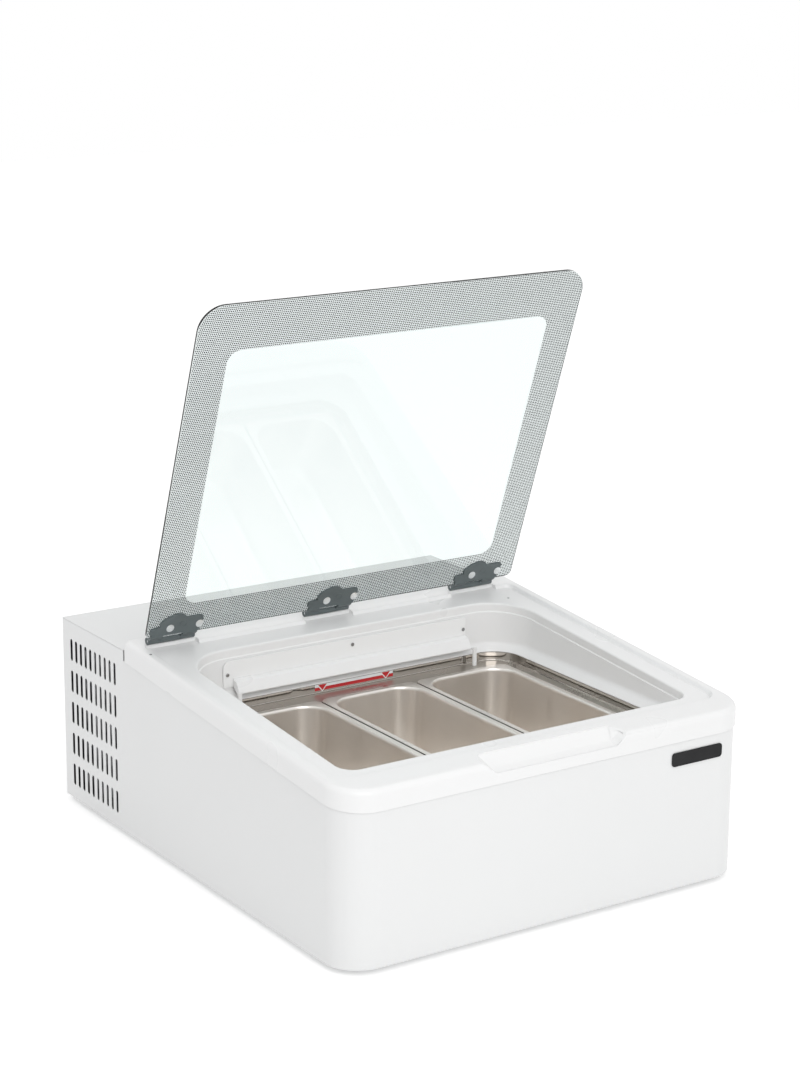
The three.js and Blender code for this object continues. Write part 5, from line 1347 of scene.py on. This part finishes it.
class MakeSmallPieces(Maker, bpy.types.Operator):
    """Makes the blank badge, the small screws and the feet"""

    bl_idname = "cabinet.make_small_pieces"
    bl_label = "Badge, Screws and Feet"

    badge = (197, 286, 182, 202)  # left, right, low, high
    badge_back, badge_thick, badge_corner = -0.3, 1.5, 5
    badge_border, badge_recess = 0.9, 0.35
    cover_screws = ((-214, 246.8), (201, 248.6), (0, 258))
    rim_screws = ((288, 512, -5.8), (304, 50, -5.8), (-327, 530, 0), (193, 585, 0))
    cover_screw_span, cover_screw_radius = (508.6, 507.4), 2.8
    rim_screw_span, rim_screw_radius = (-0.2, 0.6), 1.9
    recess = 0.35  # depth of a screw's cross
    foot_radius, foot_neck = 17, 14
    foot_low, foot_shoulder, foot_top = -8, -6, 1.2

    def make(self, scene):
        self.make_badge()
        foot, top = self.cover_screw_span
        for number, (x, z) in enumerate(self.cover_screws, 1):
            self.head(f"cover_screw_{number}", (x, foot, z), (x, top, z), self.cover_screw_radius)
        for number, (x, y, rise) in enumerate(self.rim_screws, 1):
            foot, top = (above_rim(rise)(y) + height for height in self.rim_screw_span)
            self.head(f"rim_screw_{number}", (x, y, foot), (x, y, top), self.rim_screw_radius)
        for name in ("front_left", "rear_left", "front_right", "rear_right"):
            self.foot(name)

    def make_badge(self):
        bench = Bench("badge_face")
        bench.profile([(x, self.badge_back, z) for x, z in rectangle(*self.badge)])
        bench.pick("verts")
        round_corners(self.badge_corner)
        bench.pick("faces")
        bench.extrude(y=-self.badge_thick)
        bench.pick_box("faces", y=self.badge_back - self.badge_thick)
        bpy.ops.mesh.inset(thickness=self.badge_border * MM)
        bench.extrude(y=self.badge_recess)
        bench.seal()
        bench.soften(0.2)
        bench.hand_over("cabinet", "black_plastic", "badge", "badge_plate")

    def head(self, name, foot, top, radius):
        """A small pan-head screw with a cross recess."""
        bench = Bench(name)
        bench.rod(radius, foot, top, 20)
        bench.close()
        bench.soften(0.45, 3)
        bench.cut(self.cross(foot, top, radius))
        bench.hand_over("cabinet", "zinc_steel", "dark_screw")

    def cross(self, foot, top, radius):
        """Two crossed blocks at the top of a screw that stands upright or faces the front."""
        reach, half = radius * 0.55, radius * 0.13
        x, y, z = top
        upright = foot[Y] == y
        arms = []
        for along, across in ((reach, half), (half, reach)):
            facing = (y - across, y + across) if upright else (y - 1, y + self.recess)
            rising = (z - self.recess, z + 1) if upright else (z - across, z + across)
            arms.append(block("cross", (x - along, x + along), facing, rising))
        arms[0].join(arms[1])
        return arms[0]

    def foot(self, name):
        low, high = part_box("foot_" + name)
        x = (low.x + high.x) / 2 / MM
        y = ((low.y + high.y) / 2 - CABINET.y) / MM
        bench = Bench("rubber_foot_" + name)
        bench.rod(self.foot_radius, (x, y, self.foot_low), (x, y, self.foot_shoulder), 32)
        bench.pick_box("faces", z=self.foot_shoulder)
        bench.extrude(z=-self.foot_shoulder)
        narrower = self.foot_neck / self.foot_radius
        bpy.ops.transform.resize(value=(narrower, narrower, 1), center_override=bench.at(x, y, 0))
        bench.extrude(z=self.foot_top)
        bench.seal()
        bench.soften(0.8, 3, 20)
        bench.hand_over("cabinet", "black_rubber", "rubber", "foot_" + name)


class SoftenPackedPieces(Maker, bpy.types.Operator):
    """Softens the housing's cover and rear panel, and the controls and cable gland on it"""

    bl_idname = "cabinet.soften_packed_pieces"
    bl_label = "Housing and Controls"

    # Name, CAD node, body, finish, rounding, its steps, and the angle up to which it shades smooth.
    pieces = (
        ("housing_cover", "rear_top_cover", "cabinet", "paint", 0.45, 3, 35),
        ("rear_sheet", "rear_panel", "cabinet", "galvanised", 0.25, 2, 30),
        ("thermostat_housing", "thermostat_body", "cabinet", "black", 0.6, 2, 30),
        ("thermostat_dial", "thermostat_knob", "thermostat_knob", "black", 0.7, 2, 30),
        ("switch_housing", "switch_body", "cabinet", "black", 0.5, 2, 30),
        ("switch_key", "switch_rocker", "switch_rocker", "black", 0.6, 2, 30),
        ("gland", "cable_gland", "cabinet", "black", 0.7, 2, 30),
    )

    def make(self, scene):
        for name, node, body, finish, width, steps, smooth in self.pieces:
            slot = frame["nodes"][node].material_slots[0].material.name
            softened_copy(name, node, width, steps).hand_over(body, slot, finish, node, smooth)


class FinishFrameNodes(Maker, bpy.types.Operator):
    """Gives the nodes that stay as packed their own materials"""

    bl_idname = "cabinet.finish_frame_nodes"
    bl_label = "Packed Pieces"

    # By the start of a node's name, the first that fits; black for the rest.
    finishes = {
        "galvanised": ("base_plate", "bulkhead", "compressor_mount", "fan_shroud"),
        "rubber": ("compressor_grommet",),
        "enamel": ("compressor",),
        "foam": ("foam",),
        "opal": ("led_strip",),
        "aluminium": ("condenser_core", "fan_blade"),
        "copper": (
            *("evaporator_coil", "condenser_tube", "filter_dryer"),
            *("discharge_pipe", "liquid_pipe", "suction_pipe"),
        ),
    }

    def make(self, scene):
        for name, node in frame["nodes"].items():
            if node.hide_render:
                continue
            finish = next((f for f, starts in self.finishes.items() if name.startswith(starts)), "black")
            for slot in node.material_slots:
                slot.material = FINISHES[finish]


class CabinetPanel(bpy.types.Panel):
    """Buttons that build the cabinet piece by piece"""

    bl_idname = "VIEW3D_PT_cabinet"
    bl_label = "Dipping Cabinet"
    bl_space_type = "VIEW_3D"
    bl_region_type = "UI"
    bl_category = "Cabinet"

    def draw(self, context):
        column = self.layout.column()
        for name in SETTINGS:
            group = getattr(context.scene, name)
            for field in group.__annotations__:
                column.prop(group, field)
        for operator in OPERATORS:
            column.operator(operator.bl_idname)


SETTINGS = {
    "cabinet_sizes": CabinetSizes,
    "cabinet_print": PrintSizes,
    "cabinet_colours": FinishColours,
    "cabinet_stage": StageSettings,
}
OPERATORS = (
    MakeStage,
    MakeFinishes,
    MakeBodySheet,
    MakeTopFrame,
    MakePans,
    MakeTank,
    MakeThroatFittings,
    MakeLid,
    MakeHinges,
    MakeSmallPieces,
    SoftenPackedPieces,
    FinishFrameNodes,
)
CLASSES = (*SETTINGS.values(), *OPERATORS, CabinetPanel)


def register():
    for group in CLASSES:
        bpy.utils.register_class(group)
    for name, group in SETTINGS.items():
        setattr(bpy.types.Scene, name, bpy.props.PointerProperty(type=group))


def unregister():
    for name in SETTINGS:
        delattr(bpy.types.Scene, name)
    for group in reversed(CLASSES):
        bpy.utils.unregister_class(group)


def run(operator):
    """Calls an operator by its name, and stops if it was cancelled."""
    group, name = operator.bl_idname.split(".")
    result = getattr(getattr(bpy.ops, group), name)()
    if result != {"FINISHED"}:
        raise RuntimeError(operator.bl_label + " wasn't made")


def main():
    register()
    for operator in OPERATORS:
        run(operator)


if __name__ == "__main__":
    main()
